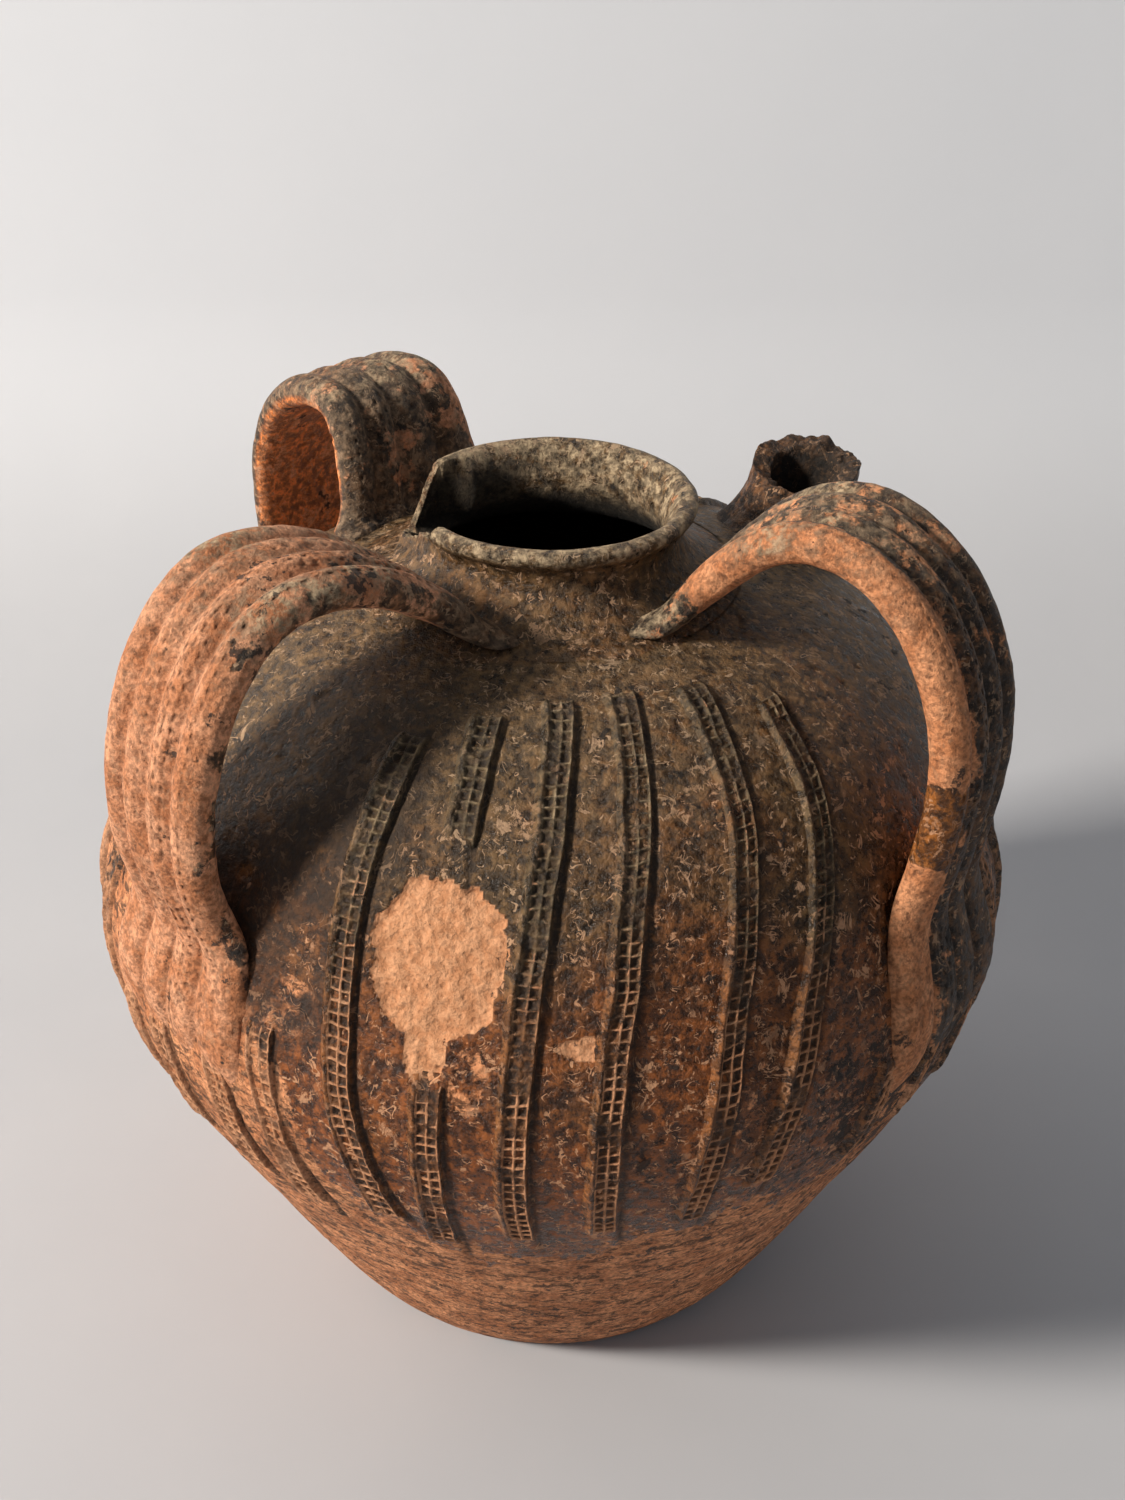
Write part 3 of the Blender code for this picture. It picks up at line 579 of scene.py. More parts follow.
def strip_piece(name, spec, seed):
    """An applied strip: a smooth bead on the left, a grid of pressed squares, a steep right side."""
    seen = not name.startswith("strip_back")
    step = 0.00042 if seen else 0.0009
    bottom, top = spec[3], spec[4]
    sample = np.linspace(bottom, top, 400)
    r, nr, nz = skin_at(sample)
    length = np.concatenate([[0], np.cumsum(np.hypot(np.diff(r), np.diff(sample)))])
    count = int(length[-1] / step)
    along = np.linspace(0, length[-1], count)
    z = np.interp(along, length, sample)
    r, nr, nz = skin_at(z)
    across = np.concatenate([
        np.linspace(-0.0082, -0.0048, 8 if seen else 4, endpoint=False),
        np.linspace(-0.0048, 0.0060, 30 if seen else 13),
        np.linspace(0.0060, 0.0074, 4 if seen else 3)[1:]])
    rows, cols = len(z), len(across)
    x = np.tile(across, rows)
    s = np.repeat(along, cols)
    rr, hh = np.repeat(r, cols), np.repeat(z, cols)
    nnr, nnz = np.repeat(nr, cols), np.repeat(nz, cols)
    azimuth = strip_azimuth(spec, hh) + np.degrees(x / rr)
    base = turned(azimuth, rr, hh)
    waver = (noise(base, 0.022, seed) - 0.5) * 0.0018 + (noise(base, 0.006, seed + 1) - 0.5) * 0.0005
    xs = x + waver
    # Rise of the strip over the wall: a rounded slope, a flat band, a steep fall on the right.
    body = ramp(xs, -0.0080, -0.0038) * STRIP_RISE - STRIP_SINK
    body += BEAD_RISE * np.exp(-((xs - BEAD_PLACE) / BEAD_WIDTH) ** 2)
    drop = ramp(xs, *DROP)
    body = body * (1 - drop) - DROP_DEPTH * drop
    # Pressed squares: two columns with thin raised walls between them.
    row_at = s / SQUARE_PITCH + 0.40 * (noise(base, 0.014, seed + 3) - 0.5)
    row_at = row_at + 0.30 * (noise(base, 0.004, seed + 4) - 0.5)
    across_wall = np.exp(-(((row_at % 1.0) - 0.5) / WALL_SHARE) ** 2)
    along_wall = np.zeros(len(x))
    for place in WALL_PLACES:
        along_wall = np.maximum(along_wall, np.exp(-((xs - place) / WALL_WIDTH) ** 2))
    in_grid = window(xs, *GRID)
    wear = ramp(fractal(base, 0.009, seed + 5, 3), 0.28, 0.55)
    wall = np.maximum(across_wall, along_wall) * (0.62 + 0.38 * wear)
    pressed = SQUARE_DEPTH * (0.50 + 0.50 * wear)
    rise = body - in_grid * (1 - wall) * pressed
    rise += uneven(base, 0.0040, seed + 7, 3) * 0.0008
    rise += (noise(base, 0.030, seed + 9) - 0.5) * 0.0009
    rise -= ramp(fractal(base, 0.012, seed + 10, 3), 0.62, 0.72) * in_grid * 0.0007
    fade = window(s, 0.0, 0.012, length[-1] - 0.009, length[-1])
    rise = rise * fade - 0.0012 * (1 - fade)
    points = turned(azimuth, rr + nnr * rise, hh + nnz * rise)
    # A plain back, sunk into the wall, closes the piece.
    back = turned(azimuth, rr - nnr * BACK_DEPTH, hh - nnz * BACK_DEPTH)
    back = back.reshape(rows, cols, 3)[:, ::-1]
    front = points.reshape(rows, cols, 3)
    loop = np.concatenate([front, back[:, ::cols - 1]], axis=1)
    total = loop.shape[1]
    quads = grid_faces(rows, total, close_columns=True)
    bare, dust, soot, warm = zones(base)
    worn = wall * in_grid * (0.65 + 0.35 * wear)

    def with_back(values, fill):
        values = values.reshape(rows, cols)
        return np.concatenate([values, np.full((rows, 2), fill)], axis=1).reshape(-1)

    cell = in_grid * (1 - wall)
    low = fall(hh, 0.210, 0.300)
    attributes = {
        "bare": with_back(np.maximum(bare * 0.8, worn * (0.45 + 0.50 * low)), 1.0),
        "fresh": with_back(worn * (0.06 + 0.32 * low), 0.0),
        "dust": with_back(dust * 0.5 * (1 - cell) + 0.85 * worn * (1 - low), 0.0),
        "soot": with_back(soot * 0.6, 0.0),
        "warm": with_back(warm, 0.0),
        # Painted shade in the pressed squares, on the steep right side and along the sunk back.
        "shade_and_dirt": with_back(np.clip(cell * 0.72 + 0.70 * drop, 0, 1), 1.0),
        "inside": with_back(np.zeros(len(x)), 0.0),
    }
    ends = [tuple(range(total)), tuple(range((rows - 1) * total, rows * total))[::-1]]
    return build(name + "_surface", loop.reshape(-1, 3), quads, attributes, fans=ends)


# ----------------------------------------------------------------------------- handles
def cubic(p0, p1, p2, p3, t):
    """Points on a cubic curve."""
    t = t[:, None]
    s = 1 - t
    p0, p1, p2, p3 = (np.array(p, float) for p in (p0, p1, p2, p3))
    return s ** 3 * p0 + 3 * s * s * t * p1 + 3 * s * t * t * p2 + t ** 3 * p3


def handle_line(spec, per_arc):
    """Middle line of a strap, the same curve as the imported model's."""
    root, crest, side, foot = spec["root"], spec["crest"], spec["side"], spec["foot"]
    t = np.linspace(0, 1, per_arc, endpoint=False)
    arcs = [
        cubic(root, (root[0] + 0.020, root[1] + 0.022), (crest[0] - 0.028, crest[1]), crest, t),
        cubic(crest, (crest[0] + 0.55 * (side[0] - crest[0]), crest[1]),
              (side[0], side[1] + 0.55 * (crest[1] - side[1])), side, t),
        cubic(side, (side[0], side[1] - 0.022), (foot[0] + 0.010, foot[1] + 0.024), foot, t),
    ]
    return np.vstack(arcs + [np.array(foot, float)[None]])


OUTLINE = np.vstack([SKIN[:-1:3], smooth_line(COLLAR_OUTER, 120)[1:78]])
OUTLINE_NORMAL = side_normals(OUTLINE)


def to_wall(points):
    """Nearest point of the jar's outer wall, its outward direction, and the distance outside it."""
    radius = np.hypot(points[:, 0], points[:, 1])
    flat = np.stack([radius, points[:, 2]], axis=1)
    nearest = np.zeros(len(points), int)
    for first in range(0, len(points), 4000):
        part = flat[first:first + 4000]
        gap = ((part[:, None, :] - OUTLINE[None]) ** 2).sum(axis=2)
        nearest[first:first + 4000] = gap.argmin(axis=1)
    normal = OUTLINE_NORMAL[nearest]
    distance = ((flat - OUTLINE[nearest]) * normal).sum(axis=1)
    around = points[:, :2] / np.maximum(radius, 1e-9)[:, None]
    outward = np.column_stack([around * normal[:, :1], normal[:, 1]])
    return points - outward * distance[:, None], outward, distance


RIB_GROOVES = ((-0.49, 1.0), (0.01, 0.85), (0.50, 1.0))


def strap_outline(count):
    """Unit section of a strap as (across, out, groove): ribbed outside, rounded edges, plain inside."""
    top = np.linspace(-1, 1, count)
    groove = np.zeros(count)
    for place, deep in RIB_GROOVES:
        groove = np.maximum(groove, deep * np.exp(-(np.abs(top - place) / 0.085) ** 1.5))
    swell = 0.07 * np.cos(top * 4 * np.pi + np.pi)
    out = (1 - np.abs(top) ** 7) ** 0.5 * (1 + swell) - 0.30 * groove
    under = np.linspace(1, -1, count // 2 + 2)[1:-1]
    below = -(1 - np.abs(under) ** 9) ** 0.5 * 0.98
    across = np.concatenate([top, under])
    return across, np.concatenate([out, below]), np.concatenate([groove, np.zeros(len(under))])


STRAP_TOP_COLUMNS = 150
ROOT_RUN = 0.010
FOOT_RUN = 0.052
ROOT_THINNING = 0.42
# Rows of rouletted dashes along the ribs, across the strap from -1 to 1.
DASH_ROWS = (-0.80, -0.66, -0.36, -0.24, -0.12, 0.16, 0.28, 0.40, 0.66, 0.80)
DASH_PITCH = 0.0052
DASH_WIDTH = 0.022
DASH_DEPTH = 0.00110
# Where a strap meets the wall: how soft the fillet is, its sink, and its reach sideways.
FILLET_SOFT = 0.0032
FILLET_SINK = -0.0016
FILLET_SPREAD = 0.0065
FILLET_REACH = 0.016
MELT_RUN = 0.030


def handle_wear(name, x, v, top, points, seed):
    """Wear of one strap: bare clay, fresh clay, warm glaze, dust, soot, and its sooty root; on the rear
    handle the soot also holds a painted shadow.

    x runs from -1 to 1 across the strap and v from 0 to 1 along it; top is 1 on the ribbed side.
    """
    patches = ramp(fractal(points, 0.016, seed + 6, 4), 0.60, 0.72)
    root = fall(v - 0.10 * uneven(points, 0.02, seed + 7, 3), 0.05, 0.17)
    dust = ramp(fractal(points, 0.030, seed + 5, 3), 0.22, 0.62)
    patchy = uneven(points, 0.022, seed + 9)
    under = 1 - top
    fresh = np.zeros(len(points))
    if name == "handle_front_right":
        # Dark brown on its outer side and dusty at its crest, with a patch of amber glaze.
        outside = ramp(x + 0.9 * patchy, -0.84, -0.30) * top * ramp(v + 0.3 * patchy, 0.34, 0.52)
        patches = np.maximum(patches, 0.9 * outside * ramp(fractal(points, 0.018, 91), 0.35, 0.60))
        amber = ramp(v + 0.12 * patchy, 0.640, 0.675) * fall(v - 0.12 * patchy, 0.745, 0.775)
        amber *= fall(x, -0.70, -0.30)
        bare = 1.0 - outside * 0.66 - 0.56 * top * fall(v, 0.36, 0.50) * ramp(x, -0.90, -0.60)
        bare *= 1.0 - amber
        warm = 0.225 + amber
        dusty = 1.15, 0.85 * top * fall(v, 0.34, 0.52) * ramp(x, -0.95, -0.60), 1.05
    elif name == "handle_rear_left":
        # Dusty and brown on its ribs, clean orange clay below, with a painted shadow near its foot.
        bare = 1.0 - top * ramp(x, -1.0, -0.90) * 0.62 * ramp(fractal(points, 0.020, 92), 0.22, 0.48)
        bare -= 0.60 * under
        fresh = 0.24 * under
        warm = 0.10 + 1.30 * under
        # Painted shade: black on the underside near the foot, where the strap closes on the wall.
        foot_gap_shade = ramp(v, 0.80, 0.88) * fall(np.abs(x - 0.1), 0.2, 0.6)
        patches = np.maximum(patches, 2.2 * under * foot_gap_shade)
        dusty = 1.0, 0.80 * top * ramp(fractal(points, 0.016, 93), 0.30, 0.60), 0.0
    else:
        # Brown glaze left along its near edge.
        bare = 1.0 - 0.60 * ramp(x, 0.80, 0.95) * ramp(patchy, -0.10, 0.06)
        warm = 0.15
        edge = ramp(x + patchy, 0.80, 1.0) * ramp(fractal(points, 0.010, 95), 0.55, 0.68)
        patches = np.maximum(patches, edge)
        dusty = 1.15, 0.0, 0.0
    return bare, fresh, warm, dust, dusty, patches, root


def handle_piece(name, spec):
    """A ribbed strap handle whose ends are smeared out on the jar's wall."""
    seed = spec["seed"]
    line = handle_line(spec, 86)
    first = (line[0] - line[1]) / np.linalg.norm(line[0] - line[1])
    last = (line[-1] - line[-2]) / np.linalg.norm(line[-1] - line[-2])
    steps = np.linspace(1, 0, 10, endpoint=False)[:, None]
    line = np.vstack([line[0] + first * ROOT_RUN * steps, line, line[-1] + last * FOOT_RUN * steps[::-1]])
    rows = len(line)
    length = np.concatenate([[0], np.cumsum(np.linalg.norm(np.diff(line, axis=0), axis=1))])
    u = (length - ROOT_RUN) / (length[-1] - ROOT_RUN - FOOT_RUN)
    tangent = np.gradient(line, axis=0)
    tangent /= np.linalg.norm(tangent, axis=1, keepdims=True)
    azimuth = spec["azimuth"] + spec["lean"] * (np.clip(u, 0, 1) - 0.5)
    a = np.radians(azimuth)
    radial = np.stack([np.sin(a), -np.cos(a), 0 * a], axis=1)
    across_dir = np.stack([np.cos(a), np.sin(a), 0 * a], axis=1)
    out_dir = radial * -tangent[:, 1:2] + np.array([0.0, 0.0, 1.0]) * tangent[:, 0:1]
    near = np.clip(1 - np.minimum(u, 1 - u) / HANDLE_END_SHARE, 0, 1) ** 2
    end_half = np.where(u < 0.5, spec["root_half"], spec["foot_half"])
    half = spec["half"] + (end_half - spec["half"]) * near
    thick = spec["thickness"] + (HANDLE_END_THICKNESS - spec["thickness"]) * near
    thick = thick * (1 - ROOT_THINNING * fall(u, 0.0, 0.15))
    fan = 1 + spec["fan"] / half * np.clip(1 - u / HANDLE_FAN_SHARE, 0, 1) ** HANDLE_FAN_POWER
    centre = turned(azimuth, line[:, 0], line[:, 1])
    across, out, groove = strap_outline(STRAP_TOP_COLUMNS)
    cols = len(across)
    sideways = across[None, :] * half[:, None] * np.where(across[None, :] < 0, fan[:, None], 1.0)
    points = (
        centre[:, None] + across_dir[:, None] * sideways[:, :, None]
        + out_dir[:, None] * (out[None, :, None] * thick[:, None, None] / 2))
    flat = points.reshape(-1, 3)
    away = flat - np.repeat(centre, cols, axis=0)
    away /= np.linalg.norm(away, axis=1, keepdims=True)
    x = np.tile(across, rows)
    v = np.repeat(u, cols)
    s = np.repeat(length, cols)
    top_side = np.tile((np.arange(cols) < STRAP_TOP_COLUMNS) * 1.0, rows)

    # Unevenness of the strap, and rouletted dashes along its ribs.
    dash = np.zeros(len(flat))
    for k, place in enumerate(DASH_ROWS):
        beat = np.sin(2 * np.pi * s / DASH_PITCH + 2.1 * k + 3 * noise(flat, 0.03, seed + 8))
        dash = np.maximum(dash, np.clip(beat, 0, 1) * np.exp(-((x - place) / DASH_WIDTH) ** 2))
    dash *= top_side * ramp(fractal(flat, 0.026, seed, 2), 0.28, 0.50)
    d = uneven(flat, 0.024, seed + 1, 3) * 0.0020
    d += uneven(flat, 0.0060, seed + 2, 3) * 0.0009
    d -= dash * DASH_DEPTH
    d -= ramp(noise(flat, 0.0050, seed + 3), 0.82, 0.90) * 0.0007

    # Near the wall the clay is smeared out on it: a fillet all round and a thinning tail.
    shadow, normal, gap = to_wall(flat)
    ends = np.minimum(s / ROOT_RUN, (length[-1] - s) / FOOT_RUN)
    outer = np.tile(np.clip(out * 1.3, 0, 1), rows)
    rib = np.tile(1 - groove, rows)
    tail = FILLET_SINK + outer * (0.0040 + 0.0018 * rib) * ramp(ends, 0.0, 1.0)
    raised = tail + ((gap - tail) + np.sqrt((gap - tail) ** 2 + 4 * FILLET_SOFT ** 2)) / 2
    near_wall = fall(gap, 0.014, 0.030)
    height = gap * (1 - near_wall) + (raised - FILLET_SOFT * fall(ends, 0.2, 0.9)) * near_wall
    melt = 0.15 + 0.85 * ramp(s, 0.0, MELT_RUN)
    height = height * (1 - near_wall * (1 - melt))
    side = np.sign(x) * np.abs(x) ** 3 * FILLET_SPREAD * np.clip(1 - gap / FILLET_REACH, 0, 1) ** 2
    flat = shadow + normal * height[:, None] + np.repeat(across_dir, cols, axis=0) * side[:, None]
    flat = flat + away * d[:, None]
    on_wall = fall(gap, -0.002, 0.006)

    quads = grid_faces(rows, cols, close_columns=True)
    ends_faces = [tuple(range(cols)), tuple(range((rows - 1) * cols, rows * cols))[::-1]]
    bare, fresh, warm, dust, dusty, patches, root = handle_wear(name, x, v, top_side, flat, seed)
    up = ramp(np.repeat(out_dir[:, 2], cols), 0.45, 0.95)
    dust = np.maximum(up * top_side * dust * dusty[0], dusty[1])
    dust = np.maximum(dust, dusty[2] * root)
    if name == "handle_front_right":
        root = root * 0.8
    attributes = {
        "bare": np.clip(bare - 0.70 * root, 0, 1),
        "fresh": fresh,
        "warm": warm - 0.30 * root,
        "dust": np.clip(np.maximum(dust, 0.78 * root), 0, 1.1),
        "soot": np.clip(patches * 0.85 + 0.20 * root, 0, 1.6),
        # Painted shade in the rib grooves and dashes, and where the strap's underside meets the wall.
        "shade_and_dirt": np.clip(np.tile(groove, rows) * 0.16 + dash * 0.62 + 0.25 * on_wall * (1 - outer), 0, 1),
        "inside": np.zeros(len(flat)),
    }
    return build(name + "_surface", flat, quads, attributes, fans=ends_faces)


# ------------------------------------------------------------------------------- spout
# Lift of the broken top over the spout's length, and its slope towards the right and the rear.
SPOUT_LIFT = 0.0030
SPOUT_SLOPE = (0.0042, 0.0066)
SPOUT_BOTTOM = 0.012
SPOUT_LIP = 0.0022
SPOUT_SPREAD = 0.0085
SPOUT_REACH = 0.022


def spout_piece():
    """Stump of the pouring spout: a thick tube, spread at its foot, with a jagged broken top."""
    foot, up = spout_axis()
    a = math.radians(SPOUT_AZIMUTH)
    side = np.array([math.cos(a), math.sin(a), 0.0])
    out = np.cross(side, up)
    cols = 160
    turn = np.linspace(0, 2 * np.pi, cols, endpoint=False)
    ring = np.cos(turn)[:, None] * side + np.sin(turn)[:, None] * out
    full = float(np.linalg.norm(turned(SPOUT_AZIMUTH, *SPOUT_TOP) - foot))
    key = np.stack([np.cos(turn) * 0.02, np.sin(turn) * 0.02, 0 * turn], axis=1)
    # The break is highest at the rear right and lowest at the front left.
    top = full + SPOUT_LIFT + SPOUT_SLOPE[1] * ring[:, 1] + SPOUT_SLOPE[0] * ring[:, 0]
    top = top + uneven(key, 0.011, 58, 4, 0.65) * 0.0090
    bottom = SPOUT_BOTTOM
    outer_steps = np.linspace(0, 1, 60)
    rows = [(bottom + (top - bottom) * t, SPOUT_OUTER, 0.0, 0.0) for t in outer_steps]
    # Towards the bore the broken top, and then the bore's wall, carry painted shade, darkest deep down.
    for k in range(1, 12):
        t = k / 12
        rows.append((top - SPOUT_LIP * t, SPOUT_OUTER + (SPOUT_BORE - SPOUT_OUTER) * t, 1.0, 0.25 * t))
    for t in outer_steps[::-2]:
        rows.append((bottom + (top - 0.0024 - bottom) * t, SPOUT_BORE, 0.0, 1.0 - 0.45 * t ** 3))
    count = len(rows)
    points = np.vstack([foot + up * np.reshape(row[0], (-1, 1)) + ring * row[1] for row in rows])
    outwards = np.tile(ring, (count, 1))
    fresh = np.repeat([row[2] for row in rows], cols)
    inside = np.repeat([row[3] for row in rows], cols)
    _, _, gap = to_wall(points)
    spread = np.clip(1 - gap / SPOUT_REACH, 0, 1) ** 2 * (inside == 0) * (fresh == 0)
    d = SPOUT_SPREAD * spread + uneven(points, 0.013, 52, 4, 0.6) * 0.0036
    d += uneven(points, 0.0035, 53, 3) * (0.0008 + 0.0014 * fresh)
    points = points + outwards * d[:, None]
    points[:, 2] += uneven(points, 0.0050, 54, 4, 0.6) * 0.0040 * fresh
    quads = grid_faces(count, cols, close_rows=True, close_columns=True)
    tan = ramp(points[:, 2], 0.352, 0.362)
    dust = 0.45 * fall(gap, 0.001, 0.014) + 0.08 * tan
    attributes = {
        "bare": np.clip(0.10 + 0.10 * fresh, 0, 1),
        "fresh": 0.0 * fresh,
        "dust": dust * (1 - inside) * (1 - 0.4 * fresh) + 0.05 * fresh,
        "soot": 0.60 * (1 - tan) * (1 - 0.5 * fresh) + 0.30,
        "warm": 0.3 + 0.0 * fresh,
        "shade_and_dirt": 0.15 * fresh,
        "inside": inside,
    }
    return build("spout_stump_surface", points, quads, attributes)


# --------------------------------------------------------------------------- materials
class Graph:
    """Short names for making a material's nodes."""

    def __init__(self, name):
        self.material = bpy.data.materials.new(name)
        self.material.use_nodes = True
        self.tree = self.material.node_tree
        self.shader = self.tree.nodes["Principled BSDF"]
        self.place = self.node("ShaderNodeTexCoord").outputs["Object"]

    def node(self, kind, **settings):
        made = self.tree.nodes.new(kind)
        for key, value in settings.items():
            setattr(made, key, value)
        return made

    def link(self, value, socket):
        if isinstance(value, bpy.types.NodeSocket):
            self.tree.links.new(value, socket)
        elif isinstance(value, tuple):
            socket.default_value = (*value, 1.0)
        else:
            socket.default_value = value

    def attribute(self, name):
        return self.node("ShaderNodeAttribute", attribute_name=name).outputs["Fac"]

    def math(self, kind, a, b=0.0, clamp=False):
        made = self.node("ShaderNodeMath", operation=kind, use_clamp=clamp)
        self.link(a, made.inputs[0])
        self.link(b, made.inputs[1])
        return made.outputs[0]

    def noise(self, size, detail=4.0, roughness=0.55, stretch=None, distortion=0.0):
        """Noise from 0 to 1 with features of the given size in metres."""
        made = self.node("ShaderNodeTexNoise")
        made.inputs["Scale"].default_value = 1.0 / size
        made.inputs["Detail"].default_value = detail
        made.inputs["Roughness"].default_value = roughness
        made.inputs["Distortion"].default_value = distortion
        place = self.place
        if stretch:
            mapping = self.node("ShaderNodeMapping")
            mapping.inputs["Scale"].default_value = stretch
            self.link(self.place, mapping.inputs["Vector"])
            place = mapping.outputs["Vector"]
        self.link(place, made.inputs["Vector"])
        return made.outputs["Fac"]

    def cells(self, size, randomness=1.0, feature="F1"):
        made = self.node("ShaderNodeTexVoronoi", feature=feature)
        made.inputs["Scale"].default_value = 1.0 / size
        made.inputs["Randomness"].default_value = randomness
        self.link(self.place, made.inputs["Vector"])
        return made.outputs["Distance"]

    def step(self, value, low, high):
        """0 below low, 1 above high, smooth between."""
        made = self.node("ShaderNodeMapRange", interpolation_type="SMOOTHSTEP")
        made.inputs["From Min"].default_value = low
        made.inputs["From Max"].default_value = high
        self.link(value, made.inputs["Value"])
        return made.outputs["Result"]

    def mix(self, factor, a, b):
        made = self.node("ShaderNodeMix", data_type="RGBA")
        self.link(factor, made.inputs["Factor"])
        self.link(a, made.inputs["A"])
        self.link(b, made.inputs["B"])
        return made.outputs["Result"]

    def tone(self, colour, value):
        """The colour made darker or lighter."""
        made = self.node("ShaderNodeHueSaturation")
        self.link(value, made.inputs["Value"])
        self.link(colour, made.inputs["Color"])
        return made.outputs["Color"]

    def number(self, factor, a, b):
        made = self.node("ShaderNodeMix", data_type="FLOAT")
        self.link(factor, made.inputs["Factor"])
        self.link(a, made.inputs["A"])
        self.link(b, made.inputs["B"])
        return made.outputs["Result"]


CLAY_PIT = (0.135, 0.052, 0.024)
CLAY_STREAK = (0.085, 0.038, 0.018)
DUST_PALE = (0.400, 0.295, 0.180)
SOOT_BLACK = (0.016, 0.013, 0.011)
# Painted shade in grooves, recesses and joints, and the sooty dark under the left arch.
SHADE_AND_DIRT_BROWN = (0.026, 0.015, 0.009)
# Painted shade for the inner walls and the spout's bore.
INSIDE_SHADE = (0.010, 0.008, 0.006)
FRESH_CLAY = ((0.540, 0.235, 0.105), (0.700, 0.345, 0.175))
FLECK_CLAY = (0.560, 0.285, 0.150)
FLECK_GREY = (0.420, 0.280, 0.170)


def jar_material(name, dark, warm, clay_deep, clay_pale, dust, flecks=1.0, gloss=0.28, streaks=0.0):
    """Fired clay under a worn glaze, with flecks, scratches, dust, soot and pits, and painted shade in its
    crevices and inside.
    """
    g = Graph(name)
    broad = g.noise(0.050, 4.0)
    middle = g.noise(0.013, 6.0, 0.62)
    fine = g.noise(0.0042, 6.0, 0.68)
    grain = g.noise(0.0019, 4.0, 0.6)
    centred = g.math("SUBTRACT", middle, 0.5)
    blots = g.step(g.noise(0.0058, 8.0, 0.72, None, 0.6), 0.46, 0.54)

    bare = g.math("ADD", g.attribute("bare"), g.math("MULTIPLY", centred, 0.75))
    bare = g.math("ADD", bare, g.math("MULTIPLY", g.math("SUBTRACT", fine, 0.5), 0.75))
    bare = g.step(bare, 0.45, 0.56)

    warmth = g.math("ADD", g.attribute("warm"), g.math("MULTIPLY", g.math("SUBTRACT", broad, 0.5), 1.3))
    glaze = g.mix(g.step(warmth, 0.0, 1.05), dark, warm)
    glaze = g.tone(glaze, g.number(g.step(fine, 0.40, 0.60), 0.38, 1.62))
    glaze = g.tone(glaze, g.number(blots, 0.62, 1.30))
    clay = g.mix(g.step(middle, 0.38, 0.62), clay_deep, clay_pale)
    clay = g.tone(clay, g.number(g.step(grain, 0.36, 0.62), 0.62, 1.20))
    clay = g.mix(g.math("MULTIPLY", g.step(fine, 0.44, 0.34), 0.72), clay, CLAY_PIT)
    if streaks:
        bands = g.noise(0.0056, 7.0, 0.76, (0.80, 0.80, 1.35), 0.6)
        clay = g.mix(g.math("MULTIPLY", g.step(bands, 0.505, 0.560), streaks), clay, CLAY_STREAK)
    fresh_clay = g.mix(g.step(fine, 0.38, 0.60), *FRESH_CLAY)
    fresh_clay = g.tone(fresh_clay, g.number(g.step(grain, 0.34, 0.52), 0.74, 1.08))
    colour = g.mix(bare, glaze, clay)

    # Thin curved scratches and small spots where the glaze is chipped through.
    lines = g.noise(0.0080, 2.0, 0.5, None, 1.6)
    lines = g.math("ABSOLUTE", g.math("SUBTRACT", lines, 0.5))
    hooks = g.math("MULTIPLY", g.step(lines, 0.030, 0.014), g.step(g.noise(0.0048, 2.0), 0.53, 0.58))
    spots = g.step(g.noise(0.0074, 6.0, 0.76, (1.0, 1.0, 0.75), 0.6), 0.575, 0.600)
    crowd = g.step(g.noise(0.024, 3.0), 0.34, 0.56)
    worn = g.math("MAXIMUM", hooks, g.math("MULTIPLY", spots, crowd))
    worn = g.math("MULTIPLY", worn, flecks)
    worn = g.math("MULTIPLY", worn, g.math("SUBTRACT", 1.0, g.math("MULTIPLY", bare, 0.7)), clamp=True)
    fleck = g.mix(g.step(g.attribute("warm"), 0.0, 0.6), FLECK_GREY, FLECK_CLAY)
    colour = g.mix(worn, colour, fleck)
    colour = g.mix(g.step(g.attribute("fresh"), 0.10, 0.55), colour, fresh_clay)

    veil = g.step(g.noise(0.0052, 7.0, 0.76), 0.42, 0.58)
    dusty = g.math("MULTIPLY", g.attribute("dust"), veil)
    dust_tone = g.mix(g.step(g.attribute("dust"), 0.80, 1.10), dust, DUST_PALE)
    dust_tone = g.tone(dust_tone, g.number(g.step(fine, 0.40, 0.60), 0.60, 1.35))
    colour = g.mix(g.math("MULTIPLY", dusty, 0.82), colour, dust_tone)
    lichen = g.noise(0.0070, 6.0, 0.70)
    lichen = g.math("ADD", lichen, g.math("MULTIPLY", g.attribute("soot"), 0.17))
    black = g.step(lichen, 0.665, 0.705)
    colour = g.mix(g.math("MULTIPLY", black, 0.86), colour, SOOT_BLACK)
    # Painted shade: grooves, recesses, joints and the left arch darken towards dark brown.
    shade_and_dirt = g.math("MULTIPLY", g.attribute("shade_and_dirt"), 0.85)
    colour = g.mix(shade_and_dirt, colour, SHADE_AND_DIRT_BROWN)
    # Painted shade on the inner walls and in the spout's bore.
    colour = g.mix(g.math("MULTIPLY", g.attribute("inside"), 0.94), colour, INSIDE_SHADE)
    g.link(colour, g.shader.inputs["Base Color"])

    g.shader.inputs["Specular IOR Level"].default_value = 0.36
    rough = g.number(g.step(fine, 0.40, 0.60), gloss, gloss + 0.26)
    rough = g.number(bare, rough, 0.86)
    rough = g.number(g.math("MAXIMUM", worn, dusty, clamp=True), rough, 0.84)
    rough = g.number(g.math("MAXIMUM", black, shade_and_dirt, clamp=True), rough, 0.72)
    rough = g.number(g.attribute("inside"), rough, 0.95)
    g.link(rough, g.shader.inputs["Roughness"])

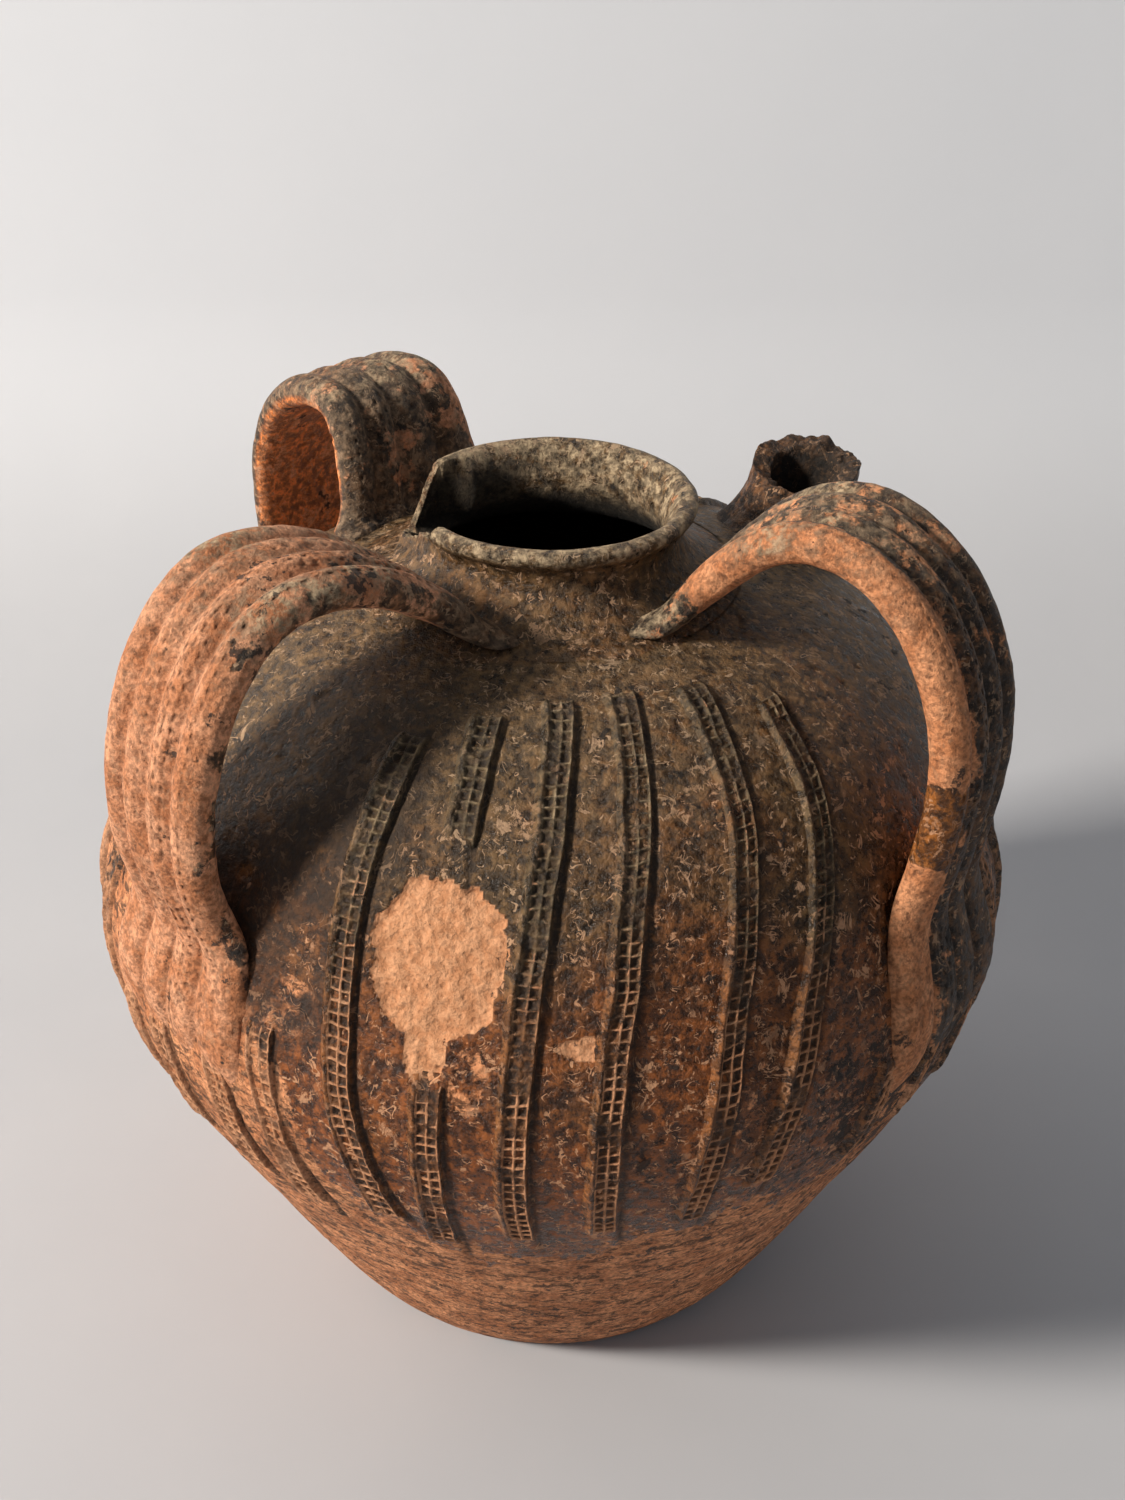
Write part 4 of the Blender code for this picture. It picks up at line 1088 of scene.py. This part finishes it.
    height = g.math("ADD", g.math("MULTIPLY", fine, 0.00190), g.math("MULTIPLY", grain, 0.00070))
    height = g.math("ADD", height, g.math("MULTIPLY", middle, 0.00120))
    height = g.math("ADD", height, g.math("MULTIPLY", dusty, 0.00025))
    height = g.math("SUBTRACT", height, g.math("MULTIPLY", worn, 0.00022))
    height = g.math("ADD", height, g.math("MULTIPLY", black, 0.00030))
    height = g.math("SUBTRACT", height, g.math("MULTIPLY", g.step(g.cells(0.0045), 0.28, 0.10), 0.00035))
    height = g.math("SUBTRACT", height, g.math("MULTIPLY", bare, 0.00025))
    bump = g.node("ShaderNodeBump")
    bump.inputs["Strength"].default_value = 0.9
    bump.inputs["Distance"].default_value = 1.0
    g.link(height, bump.inputs["Height"])
    g.link(bump.outputs["Normal"], g.shader.inputs["Normal"])
    return g.material


GLAZED = jar_material(
    "glazed_brown", dark=(0.080, 0.043, 0.015), warm=(0.150, 0.042, 0.007),
    clay_deep=(0.450, 0.165, 0.064), clay_pale=(0.680, 0.290, 0.130), dust=(0.250, 0.158, 0.080),
    flecks=1.0, gloss=0.22, streaks=0.90)
STRIP = jar_material(
    "strip_clay", dark=(0.070, 0.043, 0.018), warm=(0.140, 0.048, 0.011),
    clay_deep=(0.400, 0.170, 0.078), clay_pale=(0.560, 0.275, 0.145), dust=(0.250, 0.185, 0.105),
    flecks=0.5, gloss=0.20)
BARE = jar_material(
    "bare_terracotta", dark=(0.095, 0.054, 0.028), warm=(0.520, 0.150, 0.032),
    clay_deep=(0.450, 0.170, 0.070), clay_pale=(0.640, 0.300, 0.160), dust=(0.265, 0.180, 0.112),
    flecks=0.8, gloss=0.46)
DARK = jar_material(
    "smoked_clay", dark=(0.056, 0.031, 0.016), warm=(0.170, 0.056, 0.009),
    clay_deep=(0.470, 0.175, 0.068), clay_pale=(0.640, 0.280, 0.130), dust=(0.190, 0.135, 0.085),
    flecks=0.7, gloss=0.36)

# ---------------------------------------------------------------------------- assembly
hand_over(body_piece(), "body", GLAZED)
hand_over(collar_piece(), "collar", GLAZED)
for handle_name, handle_spec in HANDLES.items():
    smoky = handle_name == "handle_front_right"
    hand_over(handle_piece(handle_name, handle_spec), handle_name, DARK if smoky else BARE)
hand_over(spout_piece(), "spout_stump", DARK)
for number, (strip_name, strip_spec) in enumerate(STRIPS.items()):
    hand_over(strip_piece(strip_name, strip_spec, 100 + 13 * number), strip_name, STRIP)

# ------------------------------------------------------------------------------- stage
WALL_DISTANCE = 0.62
CURVE_RADIUS = 0.25


def backdrop():
    """A pale floor that curves up into a wall behind the jar."""
    line = [(-3.0, 0.0), (WALL_DISTANCE - CURVE_RADIUS, 0.0)]
    for k in range(1, 13):
        angle = math.pi / 2 * k / 12
        along = WALL_DISTANCE - CURVE_RADIUS + CURVE_RADIUS * math.sin(angle)
        line.append((along, CURVE_RADIUS * (1 - math.cos(angle))))
    line.append((WALL_DISTANCE, 3.0))
    points = np.array([(x, y, z) for y, z in line for x in (-4.0, 4.0)])
    quads = grid_faces(len(line), 2)
    item = build("backdrop", points, quads)
    g = Graph("pale_cloth")
    split = g.node("ShaderNodeSeparateXYZ")
    g.link(g.place, split.inputs["Vector"])
    level = g.step(split.outputs["Z"], 0.0, CURVE_RADIUS)
    # One cloth, painted darker on the floor than up the wall: painted shade that evens out the key's
    # stronger light on the floor.
    shaded_floor_tone = g.mix(g.noise(0.12, 4.0), (0.465, 0.470, 0.490), (0.515, 0.515, 0.530))
    wall_tone = g.mix(g.noise(0.12, 4.0), (0.755, 0.770, 0.800), (0.795, 0.805, 0.830))
    g.link(g.mix(level, shaded_floor_tone, wall_tone), g.shader.inputs["Base Color"])
    g.shader.inputs["Roughness"].default_value = 0.9
    item.data.materials.append(g.material)


backdrop()


def area_light(name, place, target, size, power, colour):
    """A soft rectangular light at a place, turned towards a target."""
    lamp = bpy.data.lights.new(name, "AREA")
    lamp.energy = power
    lamp.size = size
    lamp.color = colour
    item = bpy.data.objects.new(name, lamp)
    direction = np.array(target, float) - np.array(place, float)
    item.rotation_euler = Vector(direction).to_track_quat("-Z", "Y").to_euler()
    item.location = place
    bpy.context.scene.collection.objects.link(item)


area_light("key", (-3.85, -1.36, 2.75), (0.0, 0.0, 0.20), 0.75, 322.0, (1.0, 0.94, 0.86))
area_light("fill", (1.4, -1.6, 1.7), (0.0, 0.0, 0.2), 1.8, 2.0, (0.84, 0.91, 1.0))

world = bpy.data.worlds.new("soft_sky")
world.use_nodes = True
world.node_tree.nodes["Background"].inputs["Color"].default_value = (0.84, 0.91, 1.0, 1.0)
world.node_tree.nodes["Background"].inputs["Strength"].default_value = 0.19
bpy.context.scene.world = world
bpy.context.scene.view_settings.view_transform = "Standard"

# ------------------------------------------------------------------------------ camera
CAMERA_PLACE = (0.0, -0.649, 0.659)
CAMERA_PITCH = 32.01
CAMERA_YAW = -0.42
CAMERA_ROLL = 0.27
camera = bpy.data.objects.new("camera", bpy.data.cameras.new("camera"))
camera.data.lens = 43.2
camera.data.clip_start = 0.02
bpy.context.scene.collection.objects.link(camera)
camera.matrix_world = (
    Matrix.Translation(CAMERA_PLACE)
    @ Matrix.Rotation(math.radians(CAMERA_YAW), 4, "Z")
    @ Matrix.Rotation(math.radians(90.0 - CAMERA_PITCH), 4, "X")
    @ Matrix.Rotation(math.radians(CAMERA_ROLL), 4, "Z"))
bpy.context.scene.camera = camera
